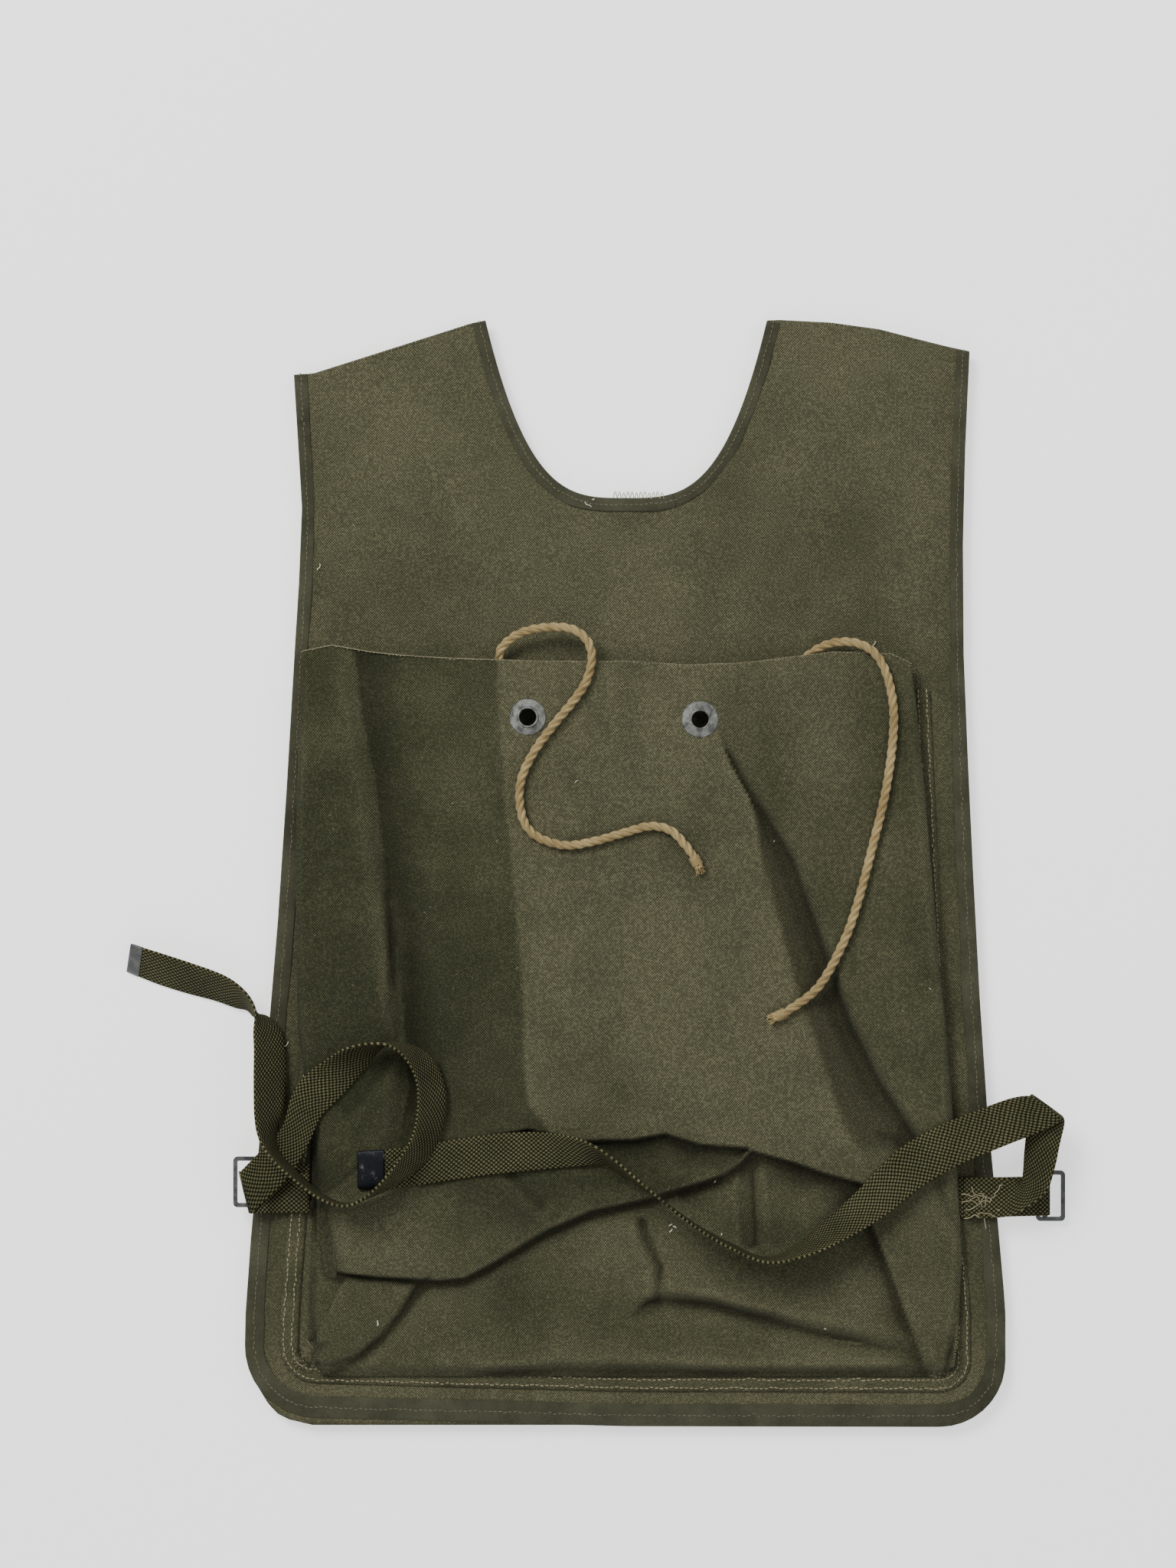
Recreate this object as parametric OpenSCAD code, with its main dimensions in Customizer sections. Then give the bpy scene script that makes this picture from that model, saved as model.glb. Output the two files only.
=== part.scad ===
// Poncho-style canvas carrying bag, lying flat and folded at the shoulders.
// Millimetres. +Z is up out of the front half, +Y runs from the hem to the neck.

/* [Canvas body] */
// Thickness of the cotton duck
duck_t = 1.2; // [1:0.1:1.3]
// Half width of the head opening at the shoulder fold
neck_half = 96; // [88:1:100]
// Depth of the head opening below the shoulder fold
neck_depth = 121; // [105:1:125]
// Width of the binding tape round the neck
neck_tape_w = 9; // [7:0.5:11]
// Width of the binding tape round the armholes, sides and hem
edge_tape_w = 12; // [9:0.5:14]
// Thickness of the binding tape on each face
tape_t = 0.6; // [0.4:0.1:0.6]

/* [Pockets] */
// Height of the front pocket's hollow as it lies
front_gap = 13; // [12.8:0.1:13]
// Height of the rear pocket's hollow as it lies
rear_gap = 6.3; // [6.3:0.1:6.5]
// Distance from the body's edge to the outside of the pocket seam
seam_out = 24; // [22:0.5:26]
// Width of the double-stitched pocket seam
seam_w = 13; // [11:0.5:13]
// Depth of the turned hem at each pocket mouth
hem_w = 13; // [10:0.5:14]

/* [Grommets] */
// Radius of the grommet's hole
eye_r = 5.9; // [5:0.1:6]
// Radius of the grommet's flange
flange_r = 12.5; // [11:0.5:13]
// Radius of the washer inside the pocket
washer_r = 11.5; // [10:0.5:12]

/* [Webbing and hardware] */
// Width of the webbing
web_w = 25.4; // [24:0.1:26]
// Thickness of the webbing
web_t = 1.8; // [1.5:0.1:1.8]
// Radius of the buckle's centre bar
bar_r = 1.6; // [1.4:0.1:1.6]
// Length of the buckle along its centre bar
buckle_len = 34.5; // [33:0.5:36]

/* [Rope ties] */
// Diameter of the laid rope
rope_d = 6.35; // [6:0.05:6.4]
// Length of the thread whipping on each end
whip_len = 9; // [8:0.5:11]

/* [Hidden] */

$fn = 48;
duck = [0.33, 0.34, 0.25];
tape = [0.35, 0.33, 0.27];
webbing = [0.31, 0.32, 0.22];
rope_tan = [0.66, 0.57, 0.40];
metal = [0.45, 0.46, 0.46];
dark_metal = [0.20, 0.22, 0.26];

// Levels of the layers, from the rear pocket's face up
layer_gap = 0.4;                                   // air between the two halves' tapes
back_z = duck_t + rear_gap;                        // underside of the back panel
front_z = back_z + duck_t + 2 * tape_t + layer_gap; // underside of the front panel
front_top = front_z + duck_t;
face_z = front_top + front_gap;                    // underside of the front pocket's face
face_top = face_z + duck_t;

// Lines along Y
fold_y = 378;         // the neck's end of the shoulder fold
mouth_y = 148;        // rear pocket's mouth
mouth_hinge_y = -105; // line about which the front pocket's mouth lifts
hinge_slit = 0.8;     // slit between the two parts of the front pocket's face
pocket_base_y = -341; // bottom of both pockets

function cat(a, b, c, d, t) =
    0.5 * (2 * b + (c - a) * t + (2 * a - 5 * b + 4 * c - d) * t * t + (3 * b - a - 3 * c + d) * t * t * t);
// A smooth curve through the points p, with n steps between each two
function smooth(p, n) = let (m = len(p) - 1) [
    for (i = [0 : m - 1]) for (k = [0 : n - 1])
        cat(p[max(i - 1, 0)], p[i], p[i + 1], p[min(i + 2, m)], k / n),
    p[m]];
function arc(cx, cy, r, a0, a1, n) = [for (i = [0 : n]) let (a = a0 + (a1 - a0) * i / n)
    [cx + r * cos(a), cy + r * sin(a)]];
function unit(v) = v / norm(v);
function ends(p, i) = p[min(i + 1, len(p) - 1)] - p[max(i - 1, 0)];
function mid(s) = (s[0] + s[1]) / 2;

// Outline of each half, anticlockwise from the top of the left armhole
left_side = [[-227, 341], [-223.5, 284], [-221.5, 250], [-223.5, 200], [-226.5, 152],
    [-232, 58], [-238, -32], [-247, -140], [-252.5, -205], [-256.5, -250], [-260, -300]];
right_side = [[258, -285], [254, -240], [246.5, -160], [241.5, -85], [237, 0],
    [233.5, 75], [230.5, 150], [230, 225], [231.5, 290], [234.5, 357]];
base = concat(arc(-211, -322, 49.5, 180, 270, 8), [[0, -377]], arc(214, -332.5, 45, 270, 360, 8));
right_shoulder = [[220, 360], [196, 366], [173, 372], [140, 376.5], [105, 378.3]];
left_shoulder = [[-106, 376], [-213, 342]];
// The head opening is a curve of the power 10/3, flat below and steep at its sides
neck = [for (i = [14 : -1 : -14]) let (x = neck_half * sin(90 * i / 14))
    [x, fold_y - neck_depth + neck_depth * pow(abs(x) / neck_half, 10 / 3)]];
outline = concat(left_side, base, right_side, right_shoulder, neck, left_shoulder);

module half_2d() { polygon(outline); }
module sides_2d() { polygon(concat([[-227, 420]], left_side, base, right_side, [[234.5, 420]])); }
module neck_2d() { polygon(concat(neck, [[-neck_half, 420], [neck_half, 420]])); }
module below(y) { intersection() { children(); translate([-400, y - 900]) square([800, 900]); } }

// A solid skin over rings of equal size; each cap is a list of index lists. Sides from the
// back_from-th on are split along the other diagonal, so that both faces of a thin strip match
module skin(rings, caps, back_from = 1000) {
    n = len(rings[0]);
    last = (len(rings) - 1) * n;
    polyhedron(
        points = [for (r = rings) for (p = r) p],
        faces = concat(
            caps,
            [for (c = caps) [for (j = [len(c) - 1 : -1 : 0]) last + c[j]]],
            [for (i = [0 : len(rings) - 2]) for (j = [0 : n - 1])
                let (k = (j + 1) % n, a = i * n, b = a + n, m = j < back_from ? a + j : a + k)
                each j < back_from ? [[m, b + j, b + k], [m, b + k, a + k]]
                                   : [[a + j, b + j, m], [b + j, b + k, m]]]),
        convexity = 8);
}

// ---- the two halves and their binding ----
module panel(z) {
    color(duck) translate([0, 0, z]) linear_extrude(duck_t) offset(delta = -tape_t) half_2d();
}
// Tape folded over the edge of a panel: a band on each face, joined round the edge
module binding(z) {
    color(tape) difference() {
        translate([0, 0, z - tape_t]) linear_extrude(duck_t + 2 * tape_t) children();
        translate([0, 0, z]) linear_extrude(duck_t) offset(delta = -tape_t) half_2d();
    }
}
module neck_binding(z) {
    binding(z) intersection() { half_2d(); offset(r = neck_tape_w) neck_2d(); }
}
module edge_binding(z) {
    binding(z) difference() { half_2d(); offset(delta = -edge_tape_w) sides_2d(); }
}
module front_panel() { panel(front_z); }
module back_panel() { panel(back_z); }
module neck_binding_front() { neck_binding(front_z); }
module neck_binding_back() { neck_binding(back_z); }
module edge_binding_front() { edge_binding(front_z); }
module edge_binding_back() { edge_binding(back_z); }

// ---- pocket seams: a folded strip of duck sewn down round three sides ----
seam_t = 1.5;
seam_top_y = 128;
module pocket_seam(z) {
    color(duck) translate([0, 0, z]) linear_extrude(seam_t) below(seam_top_y) difference() {
        offset(delta = -seam_out) sides_2d();
        offset(delta = -seam_out - seam_w) sides_2d();
    }
}
module front_pocket_seam() { pocket_seam(front_top); }
module rear_pocket_seam() { pocket_seam(back_z - seam_t); }

// ---- front pocket face: a lower part, and a top part that lifts at the mouth ----
front_mouth = [[-220, 152], [-200, 156], [-174, 151.5], [-151, 149], [-117, 147], [-53, 145],
    [0, 145], [43, 142.5], [80, 144], [121, 149], [141, 151.5], [180, 150], [193, 144]];
front_right = [[197, 117], [203, 56], [208.5, -11], [217, mouth_hinge_y], [225.5, -214], [228, -260],
    [226, -300], [222, pocket_base_y]];
front_left = [[-216, pocket_base_y], [-215, -300], [-214, -190], [-219, -140],
    [-224.5, mouth_hinge_y], [-225, 0], [-223, 87]];
face_outline = concat(front_mouth, front_right, front_left);
front_eyes = [[-67, 107], [50, 105.5]];

module face_part(low, high) {
    translate([0, 0, face_z]) linear_extrude(duck_t) intersection() {
        polygon(face_outline);
        translate([-300, low]) square([600, high - low]);
    }
}
module front_pocket_face() { color(duck) face_part(-400, mouth_hinge_y - hinge_slit); }
module front_pocket_top() {
    color(duck) difference() {
        face_part(mouth_hinge_y + hinge_slit / 2, 200);
        for (e = front_eyes) translate([e[0], e[1], face_z - 1]) cylinder(r = barrel_r, h = duck_t + 2);
    }
}
module front_pocket_hem() {
    color(duck) translate([0, 0, face_z - duck_t]) linear_extrude(duck_t)
        polygon(concat(front_mouth, [for (i = [len(front_mouth) - 1 : -1 : 0]) front_mouth[i] - [0, hem_w]]));
}

// ---- gussets: strips folded once inwards, deep at the mouth and closing at the corners ----
gusset_t = 1;
// A chevron from the face's edge a, in to the fold b, and out to the foot c
function chevron(a, b, c, low, high, s) = let (m = (low + high) / 2)
    [[a, high], [b + s * gusset_t, m], [c, low], [c, low + gusset_t], [b, m], [a, high - gusset_t]];
chevron_caps = [[0, 1, 4, 5], [1, 2, 3, 4]];
// Each station is [y, face edge, fold, foot]
module side_gusset(stations, low, high, s) {
    rings = [for (g = stations) [for (p = chevron(g[1], g[2], g[3], low, high, s)) [p[0], g[0], p[1]]]];
    order = s > 0 ? [len(rings) - 1 : -1 : 0] : [0 : len(rings) - 1];
    color(duck) skin([for (i = order) rings[i]], chevron_caps, 3);
}
// Each station is [x, face edge, fold, foot] along Y
module bottom_gusset(stations, low, high) {
    color(duck) skin([for (i = [len(stations) - 1 : -1 : 0]) let (g = stations[i])
        [for (p = chevron(g[1], g[2], g[3], low, high, 1)) [g[0], p[0], p[1]]]], chevron_caps, 3);
}
clear = 0.4;
front_low = front_top + seam_t + clear;
front_high = face_z - clear;
module front_left_gusset() {
    side_gusset([[126, -219, -165, -190], [0, -221, -175, -199], [mouth_hinge_y, -221, -182, -207],
        [-220, -211, -190, -214], [-318, -211, -206, -217]], front_low, front_high, 1);
}
module front_right_gusset() {
    side_gusset([[126, 192, 168, 193], [0, 203, 176, 200], [mouth_hinge_y, 212, 184, 205],
        [-220, 221, 192, 214], [-318, 220, 212, 219]], front_low, front_high, -1);
}
module front_bottom_gusset() {
    bottom_gusset([[-203, -337, -331, -339], [-150, -337, -316, -339], [0, -337, -308, -339],
        [150, -337, -316, -339], [205, -337, -331, -339]], front_low, front_high);
}

// ---- rear pocket: the same pocket, squarer, with its face on the ground ----
rear_eyes = [[-58, 107], [58, 107]];
recess = 0.6; // depth of the seat that sinks the grommet's flange into the face
rear_low = duck_t + clear;
rear_high = back_z - seam_t - clear;
module rear_pocket_face() {
    color(duck) difference() {
        linear_extrude(duck_t)
            polygon([[-204, mouth_y], [204, mouth_y], [221, -300], [219, pocket_base_y],
                [-219, pocket_base_y], [-221, -300]]);
        for (e = rear_eyes) translate([e[0], e[1], 0]) {
            translate([0, 0, -1]) cylinder(r = barrel_r, h = duck_t + 2);
            translate([0, 0, -1]) cylinder(r = flange_r, h = 1 + recess);
        }
    }
}
module rear_pocket_hem() {
    color(duck) translate([0, 0, duck_t]) linear_extrude(duck_t)
        polygon([[-204, mouth_y], [204, mouth_y], [204.4, mouth_y - hem_w], [-204.4, mouth_y - hem_w]]);
}
module rear_side_gusset(s) {
    side_gusset([[126, s * 200, s * 168, s * 190], [mouth_hinge_y, s * 208, s * 182, s * 206],
        [-220, s * 214, s * 192, s * 213], [-318, s * 216, s * 208, s * 217]], rear_low, rear_high, -s);
}
module rear_left_gusset() { rear_side_gusset(-1); }
module rear_right_gusset() { rear_side_gusset(1); }
module rear_bottom_gusset() {
    bottom_gusset([[-203, -337, -331, -339], [0, -337, -308, -339], [203, -337, -331, -339]],
        rear_low, rear_high);
}

// ---- grommets: a barrel with a rolled flange outside and a toothless washer inside ----
barrel_r = eye_r + 0.9;
flange_t = 1.0;
washer_t = 0.7;
module ring(r_in, r_out, z, h) {
    translate([0, 0, z]) difference() {
        cylinder(r = r_out, h = h);
        translate([0, 0, -1]) cylinder(r = r_in, h = h + 2);
    }
}
module front_grommet(e) {
    color(metal) translate([e[0], e[1], 0]) rotate_extrude() polygon([
        [eye_r, face_z - washer_t], [barrel_r, face_z - washer_t], [barrel_r, face_top],
        [flange_r, face_top], [flange_r - 0.5, face_top + 0.6], [barrel_r + 1.2, face_top + flange_t],
        [eye_r, face_top + flange_t]]);
}
module front_washer(e) {
    color(metal) translate([e[0], e[1], 0]) ring(barrel_r, washer_r, face_z - washer_t, washer_t);
}
module rear_grommet(e) {
    color(metal) translate([e[0], e[1], 0]) rotate_extrude() polygon([
        [eye_r, 0], [flange_r, 0], [flange_r, recess], [barrel_r, recess],
        [barrel_r, duck_t + washer_t], [eye_r, duck_t + washer_t]]);
}
module rear_washer(e) {
    color(metal) translate([e[0], e[1], 0]) ring(barrel_r, washer_r, duck_t, washer_t);
}
module front_left_grommet() { front_grommet(front_eyes[0]); }
module front_right_grommet() { front_grommet(front_eyes[1]); }
module front_left_grommet_washer() { front_washer(front_eyes[0]); }
module front_right_grommet_washer() { front_washer(front_eyes[1]); }
module rear_left_grommet() { rear_grommet(rear_eyes[0]); }
module rear_right_grommet() { rear_grommet(rear_eyes[1]); }
module rear_left_grommet_washer() { rear_washer(rear_eyes[0]); }
module rear_right_grommet_washer() { rear_washer(rear_eyes[1]); }

// ---- rope ties ----
rope_r = rope_d / 2;
rope_sides = 8;
left_rope_route = [[-88, 86, 15.2], [-88, 94, 15.2], [-88, 104, 15.2], [-88, 118, 15.2], [-87, 130, 15.6], [-86, 141, 16.6],
    [-86, 152, 20], [-79, 160, 23.5], [-68, 165.5, 26], [-53, 168, 27.5], [-38, 167, 28.4], [-27.5, 160, 29.2],
    [-23.5, 148, 29.4], [-27, 132, 29.3], [-36, 118, 29.3], [-50, 101, 29.3], [-63, 83, 29.3],
    [-71, 66, 29.3], [-72.5, 51, 29.3], [-69, 35, 29.3], [-59, 25, 29.3], [-41, 20, 29.3],
    [-21, 23, 29.3], [0, 29, 29.3], [16, 33, 29.3], [30, 30, 29.3], [40, 20, 29.3], [45, 13, 29.3]];
right_rope_route = [[62, 86, 15.2], [62, 94, 15.2], [63, 101, 15.2], [69, 114, 15.2], [83, 126, 15.2], [101, 136, 15.6],
    [118, 145, 16.8], [131, 154, 20], [143, 158, 24], [157, 157, 27.6], [169, 149.5, 29.4], [177, 134, 29.4],
    [181, 112, 29.3], [180, 86, 29.3], [175, 53, 29.3], [167, 20, 29.3], [157, -18, 29.3], [147, -46, 29.3],
    [130, -76, 29.3], [108, -93, 29.3]];

function tube_ring(p, i, r) = let (t = unit(ends(p, i)), u = unit(cross([0, 0, 1], t)), v = cross(t, u))
    [for (k = [0 : rope_sides - 1]) let (a = 360 * k / rope_sides) p[i] + r * (cos(a) * u + sin(a) * v)];
module tube(p, r) {
    skin([for (i = [0 : len(p) - 1]) tube_ring(p, i, r)], [[for (k = [0 : rope_sides - 1]) k]]);
}
// A whipping starts on the rope's end and runs on past it in the same line
module whipping(route) {
    p = smooth(route, 2);
    from = p[len(p) - 1];
    way = unit(from - p[len(p) - 2]);
    color(rope_tan) tube([from + 0.02 * way, from + whip_len * way], rope_r + 0.4);
}
module left_rope() { color(rope_tan) tube(smooth(left_rope_route, 2), rope_r); }
module right_rope() { color(rope_tan) tube(smooth(right_rope_route, 2), rope_r); }
module left_rope_whipping() { whipping(left_rope_route); }
module right_rope_whipping() { whipping(right_rope_route); }

// A webbing keeper over the inner end of a rope, sewn down on both sides
keeper_len = 9;
keeper_bore = rope_r + 0.35;
module keeper(end) {
    color(webbing) translate([end[0], end[1] - 1, 0]) rotate([-90, 0, 0]) linear_extrude(keeper_len)
        difference() {
            union() {
                translate([-web_w / 2, -front_top - web_t]) square([web_w, web_t]);
                translate([0, -end[2]]) circle(keeper_bore + web_t * 0.8);
            }
            translate([0, -end[2]]) circle(keeper_bore);
            translate([-web_w, -front_top]) square([2 * web_w, 10]);
            translate([-keeper_bore * 0.6, -front_top - web_t - 1]) square([keeper_bore * 1.2, 5]);
        }
}
module left_rope_keeper() { keeper(left_rope_route[0]); }
module right_rope_keeper() { keeper(right_rope_route[0]); }

// ---- buckle tabs: a strip of webbing folded round the buckle's centre bar ----
tab_z = front_top + seam_t;     // underside of the sewn part, on the pocket seam
left_bar = [-254.2, -209.5, 15.8]; // middle of each centre bar
right_bar = [286.6, -220, 6];
bore_r = bar_r + 0.06;
loop_r = bore_r + web_t;
buckle_t = 2.6;
inner_reach = 6.3;
outer_reach = 13.6;
inner_rail = 2.4;
rail = 2.8;
over = buckle_t / 2 + 0.35;        // height at which the tab passes over the inner rail
// Two layers of webbing that run from the sewn end, over the inner rail, to a loop round the centre bar
module tab(from, edge, x, z, y) {
    color(webbing) translate([0, y + web_w / 2, 0]) rotate([90, 0, 0]) linear_extrude(web_w) difference() {
        union() {
            polygon([[from, tab_z], [edge, tab_z], [x - 7.5, z + over], [x - 3.5, z + over],
                [x - 2.2, z], [x + 2.4, z], [x + 2.4, z + 2.2], [x + 0.5, z + 3.3],
                [x - 3, z + over + 2 * web_t - 0.3], [x - 7.5, z + over + 2 * web_t],
                [edge, tab_z + 2 * web_t], [from, tab_z + 2 * web_t]]);
            translate([x, z]) circle(loop_r);
        }
        translate([x, z]) circle(bore_r);
    }
}
module left_buckle_tab() { mirror([1, 0, 0]) tab(216, 238, -left_bar[0], left_bar[2], left_bar[1] - 1.5); }
module right_buckle_tab() { tab(226, 251, right_bar[0], right_bar[2], right_bar[1]); }

// ---- buckles: a flat frame with a round centre bar, an inner slot and an outer slot ----
module round_box(x0, x1, w, r) {
    translate([x0, r - w / 2]) square([x1 - x0, w - 2 * r]);
    translate([x0 + r, -w / 2]) square([x1 - x0 - 2 * r, w]);
    for (x = [x0 + r, x1 - r]) for (y = [r - w / 2, w / 2 - r]) translate([x, y]) circle(r);
}
module buckle(bar, s) {
    color(metal) translate(bar) scale([s, 1, 1]) {
        translate([0, 0, -buckle_t / 2]) linear_extrude(buckle_t) difference() {
            round_box(-inner_reach, outer_reach, buckle_len, 3);
            round_box(inner_rail - inner_reach, outer_reach - rail, buckle_len - 2 * rail, 1.2);
        }
        rotate([90, 0, 0]) translate([0, 0, 0.1 - buckle_len / 2 + rail / 2])
            cylinder(r = bar_r, h = buckle_len - rail - 0.2);
    }
}
module left_buckle() { buckle(left_bar, -1); }
module right_buckle() { buckle(right_bar, 1); }

// ---- straps: each station is one point on either selvage ----
left_end_route = [[[-216, -204, 17.6], [-216, -229.5, 17.6]], [[-236.5, -204, 17.6], [-236.5, -229.5, 17.6]],
    [[-246.5, -203.5, 22.5], [-245, -229.2, 22.5]], [[-262, -202.5, 22.5], [-255, -229.5, 22.5]]];
left_route = [
    [[-262, -202.5, 24.9], [-255, -229.5, 24.9]], [[-247, -187, 25], [-230, -205, 25.3]],
    [[-233, -171, 25.6], [-216, -182, 27.3]], [[-227, -151, 27], [-208, -164, 27]],
    [[-217, -136.5, 28.5], [-195, -150.5, 27]], [[-202.5, -125, 36], [-183, -137.5, 27]],
    [[-189.5, -117, 45], [-173, -125, 28]], [[-174, -113, 52], [-166, -117, 28.5]],
    [[-160, -114, 54], [-158, -114, 28.6]], [[-149, -122.5, 53], [-142.5, -117, 29]],
    [[-141.5, -137.5, 49.5], [-129.5, -128.5, 29]], [[-140.5, -155.5, 47], [-123, -151.5, 29]],
    [[-143.5, -174, 48], [-127.5, -176.5, 29]], [[-151.5, -188.5, 50], [-138.5, -196, 29]],
    [[-163.5, -204.5, 53], [-157.5, -210.5, 29]], [[-176.5, -216.5, 54], [-175.5, -219, 28.6]],
    [[-191, -222, 54], [-191, -223, 28.6]], [[-208, -216, 53.4], [-207, -216.5, 28]],
    [[-226, -202.5, 52], [-224.5, -201.5, 27.4]], [[-239, -190.5, 50], [-236, -188, 26.4]],
    [[-247, -178, 46], [-238, -174, 24.4]], [[-250.5, -163.5, 41], [-234, -161, 22.4]],
    [[-251.5, -140, 36], [-233, -139, 18.4]], [[-251.5, -119, 34], [-233.5, -118, 16.6]],
    [[-252, -106, 33], [-236.8, -104.5, 16]], [[-251.5, -96.5, 32], [-246.5, -96.5, 13.6]],
    [[-252, -90.5, 30], [-253.5, -97.5, 8.6]], [[-257.5, -81.5, 25], [-259, -93, 4.6]],
    [[-266.5, -73.5, 22], [-267.5, -91, 2.8]], [[-278, -67.5, 20], [-282, -86, 2.2]],
    [[-296.5, -61, 19], [-301, -81, 1.8]], [[-315, -55, 18.4], [-320, -75, 1.7]],
    [[-329.5, -50.5, 18], [-334, -69.5, 1.7]]];
left_tip_end = [[-337.5, -48, 18], [-342, -66, 1.7]];
right_end_route = [[[230, -233, 17.6], [230, -207.5, 17.6]], [[251.5, -233, 18], [251.5, -207.5, 17.7]],
    [[263, -230.5, 23], [265, -209.5, 17.2]], [[274, -223.5, 29.5], [269.5, -210, 16]],
    [[284, -214, 32], [271, -202.5, 16]], [[289.5, -197.5, 32.5], [271.5, -191, 18]],
    [[293, -182, 31], [272, -177, 23]], [[296, -170, 29.4], [272, -160, 27.6]],
    [[297, -166, 29.4], [272, -148.5, 28.6]]];
right_route = [
    [[297, -167, 32], [272, -149, 31.4]], [[278, -174, 33.4], [257, -153, 33]],
    [[252, -184, 33.6], [233.5, -162, 31.6]], [[225.5, -195, 33.4], [210, -172, 30]],
    [[199.5, -210, 34.4], [185, -187, 28.8]], [[173.5, -230, 37.4], [160, -212, 28]],
    [[147, -245, 45], [137, -234, 27.4]], [[121, -255.5, 50.4], [117, -250.5, 27.2]],
    [[95, -260, 52], [95, -260, 27]], [[69, -250, 52], [69.5, -250, 27]],
    [[43, -234, 52], [43, -235, 27]], [[16.5, -212.5, 51.4], [16.5, -215.5, 27.2]],
    [[-9.5, -190.5, 48.6], [-6, -201.5, 27.2]], [[-25, -181, 43], [-15.5, -196, 27.2]],
    [[-41, -176.5, 36.6], [-34.5, -197, 27.2]], [[-61.5, -175, 30], [-61.5, -199.5, 27.2]],
    [[-87.5, -176.5, 27.6], [-87.5, -202, 27.2]], [[-114, -180, 27.2], [-114, -205.5, 27.2]],
    [[-140, -184.5, 27.2], [-140, -209.5, 27.2]], [[-164.5, -187.5, 27.2], [-164.5, -212, 27.2]]];
right_tip_end = [[-182.5, -188.5, 27.2], [-182.5, -212, 27.2]];

function ribbon_ring(s, i, t) = let (
        a = s[i][0], b = s[i][1],
        go = mid(s[min(i + 1, len(s) - 1)]) - mid(s[max(i - 1, 0)]),
        n = unit(cross(go, b - a)) * t / 2)
    [a - n, b - n, b + n, a + n];
module ribbon(s, t) { skin([for (i = [0 : len(s) - 1]) ribbon_ring(s, i, t)], [[0, 1, 2, 3]]); }
module strap_tip(route, tip) {
    color(dark_metal) ribbon([route[len(route) - 1] + 0.05 * (tip - route[len(route) - 1]), tip], web_t + 0.6);
}
module left_strap_end() { color(webbing) ribbon(left_end_route, web_t); }
module right_strap_end() { color(webbing) ribbon(smooth(right_end_route, 2), web_t); }
module left_strap() { color(webbing) ribbon(smooth(left_route, 2), web_t); }
module right_strap() { color(webbing) ribbon(smooth(right_route, 3), web_t); }
module left_strap_tip() { strap_tip(left_route, left_tip_end); }
module right_strap_tip() { strap_tip(right_route, right_tip_end); }

front_panel();
back_panel();
neck_binding_front();
neck_binding_back();
edge_binding_front();
edge_binding_back();
front_pocket_seam();
front_pocket_face();
front_pocket_top();
front_pocket_hem();
front_left_gusset();
front_right_gusset();
front_bottom_gusset();
front_left_grommet();
front_right_grommet();
front_left_grommet_washer();
front_right_grommet_washer();
rear_pocket_seam();
rear_pocket_face();
rear_pocket_hem();
rear_left_gusset();
rear_right_gusset();
rear_bottom_gusset();
rear_left_grommet();
rear_right_grommet();
rear_left_grommet_washer();
rear_right_grommet_washer();
left_rope_keeper();
right_rope_keeper();
left_rope();
right_rope();
left_rope_whipping();
right_rope_whipping();
left_buckle_tab();
right_buckle_tab();
left_buckle();
right_buckle();
left_strap_end();
right_strap_end();
left_strap();
right_strap();
left_strap_tip();
right_strap_tip();
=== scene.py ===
import math

import bmesh
import bpy
import mathutils
import numpy as np
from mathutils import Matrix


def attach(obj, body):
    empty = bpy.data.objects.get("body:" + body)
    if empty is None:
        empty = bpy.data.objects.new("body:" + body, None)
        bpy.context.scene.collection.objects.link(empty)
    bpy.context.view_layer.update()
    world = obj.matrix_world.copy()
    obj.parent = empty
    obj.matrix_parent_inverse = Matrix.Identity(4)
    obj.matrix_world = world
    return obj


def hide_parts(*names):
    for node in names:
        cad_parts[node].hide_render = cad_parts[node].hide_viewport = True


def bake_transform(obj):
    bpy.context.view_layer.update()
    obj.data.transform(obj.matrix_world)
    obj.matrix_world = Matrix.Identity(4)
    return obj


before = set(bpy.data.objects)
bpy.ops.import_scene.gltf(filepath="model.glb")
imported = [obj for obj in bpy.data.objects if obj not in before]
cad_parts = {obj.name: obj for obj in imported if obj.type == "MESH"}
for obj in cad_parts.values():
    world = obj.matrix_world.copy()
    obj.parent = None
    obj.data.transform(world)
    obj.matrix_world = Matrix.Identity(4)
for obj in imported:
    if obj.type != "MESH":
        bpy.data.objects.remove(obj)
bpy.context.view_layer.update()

# Lengths below are in millimetres in the part's frame, and become metres in make_mesh().
MM = 0.001
# the webbing's width, one inch
WEB = 25.4


# ---------------------------------------------------------------- arithmetic on arrays

def smoothstep(lo, hi, v):
    """0 below lo, 1 above hi, and 3t^2 - 2t^3 between them."""
    t = np.clip((v - lo) / (hi - lo), 0, 1)
    return t * t * (3 - 2 * t)


def bump(v, w):
    """A bell of height 1 at v = 0: e to the minus (v/w)^2."""
    return np.exp(-(v / w) ** 2)


def ripple(x, y, size, seed, waves=14):
    """Cloth waviness about 1 high: a sum of plane sine waves in seeded directions, of about the given
    wavelength."""
    r = np.random.default_rng(seed)
    a = r.uniform(0, 2 * math.pi, waves)
    k = 2 * math.pi / (size * r.uniform(0.6, 1.7, waves))
    p = r.uniform(0, 2 * math.pi, waves)
    return sum(np.sin(k[i] * (x * math.cos(a[i]) + y * math.sin(a[i])) + p[i])
               for i in range(waves)) / math.sqrt(waves)


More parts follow.
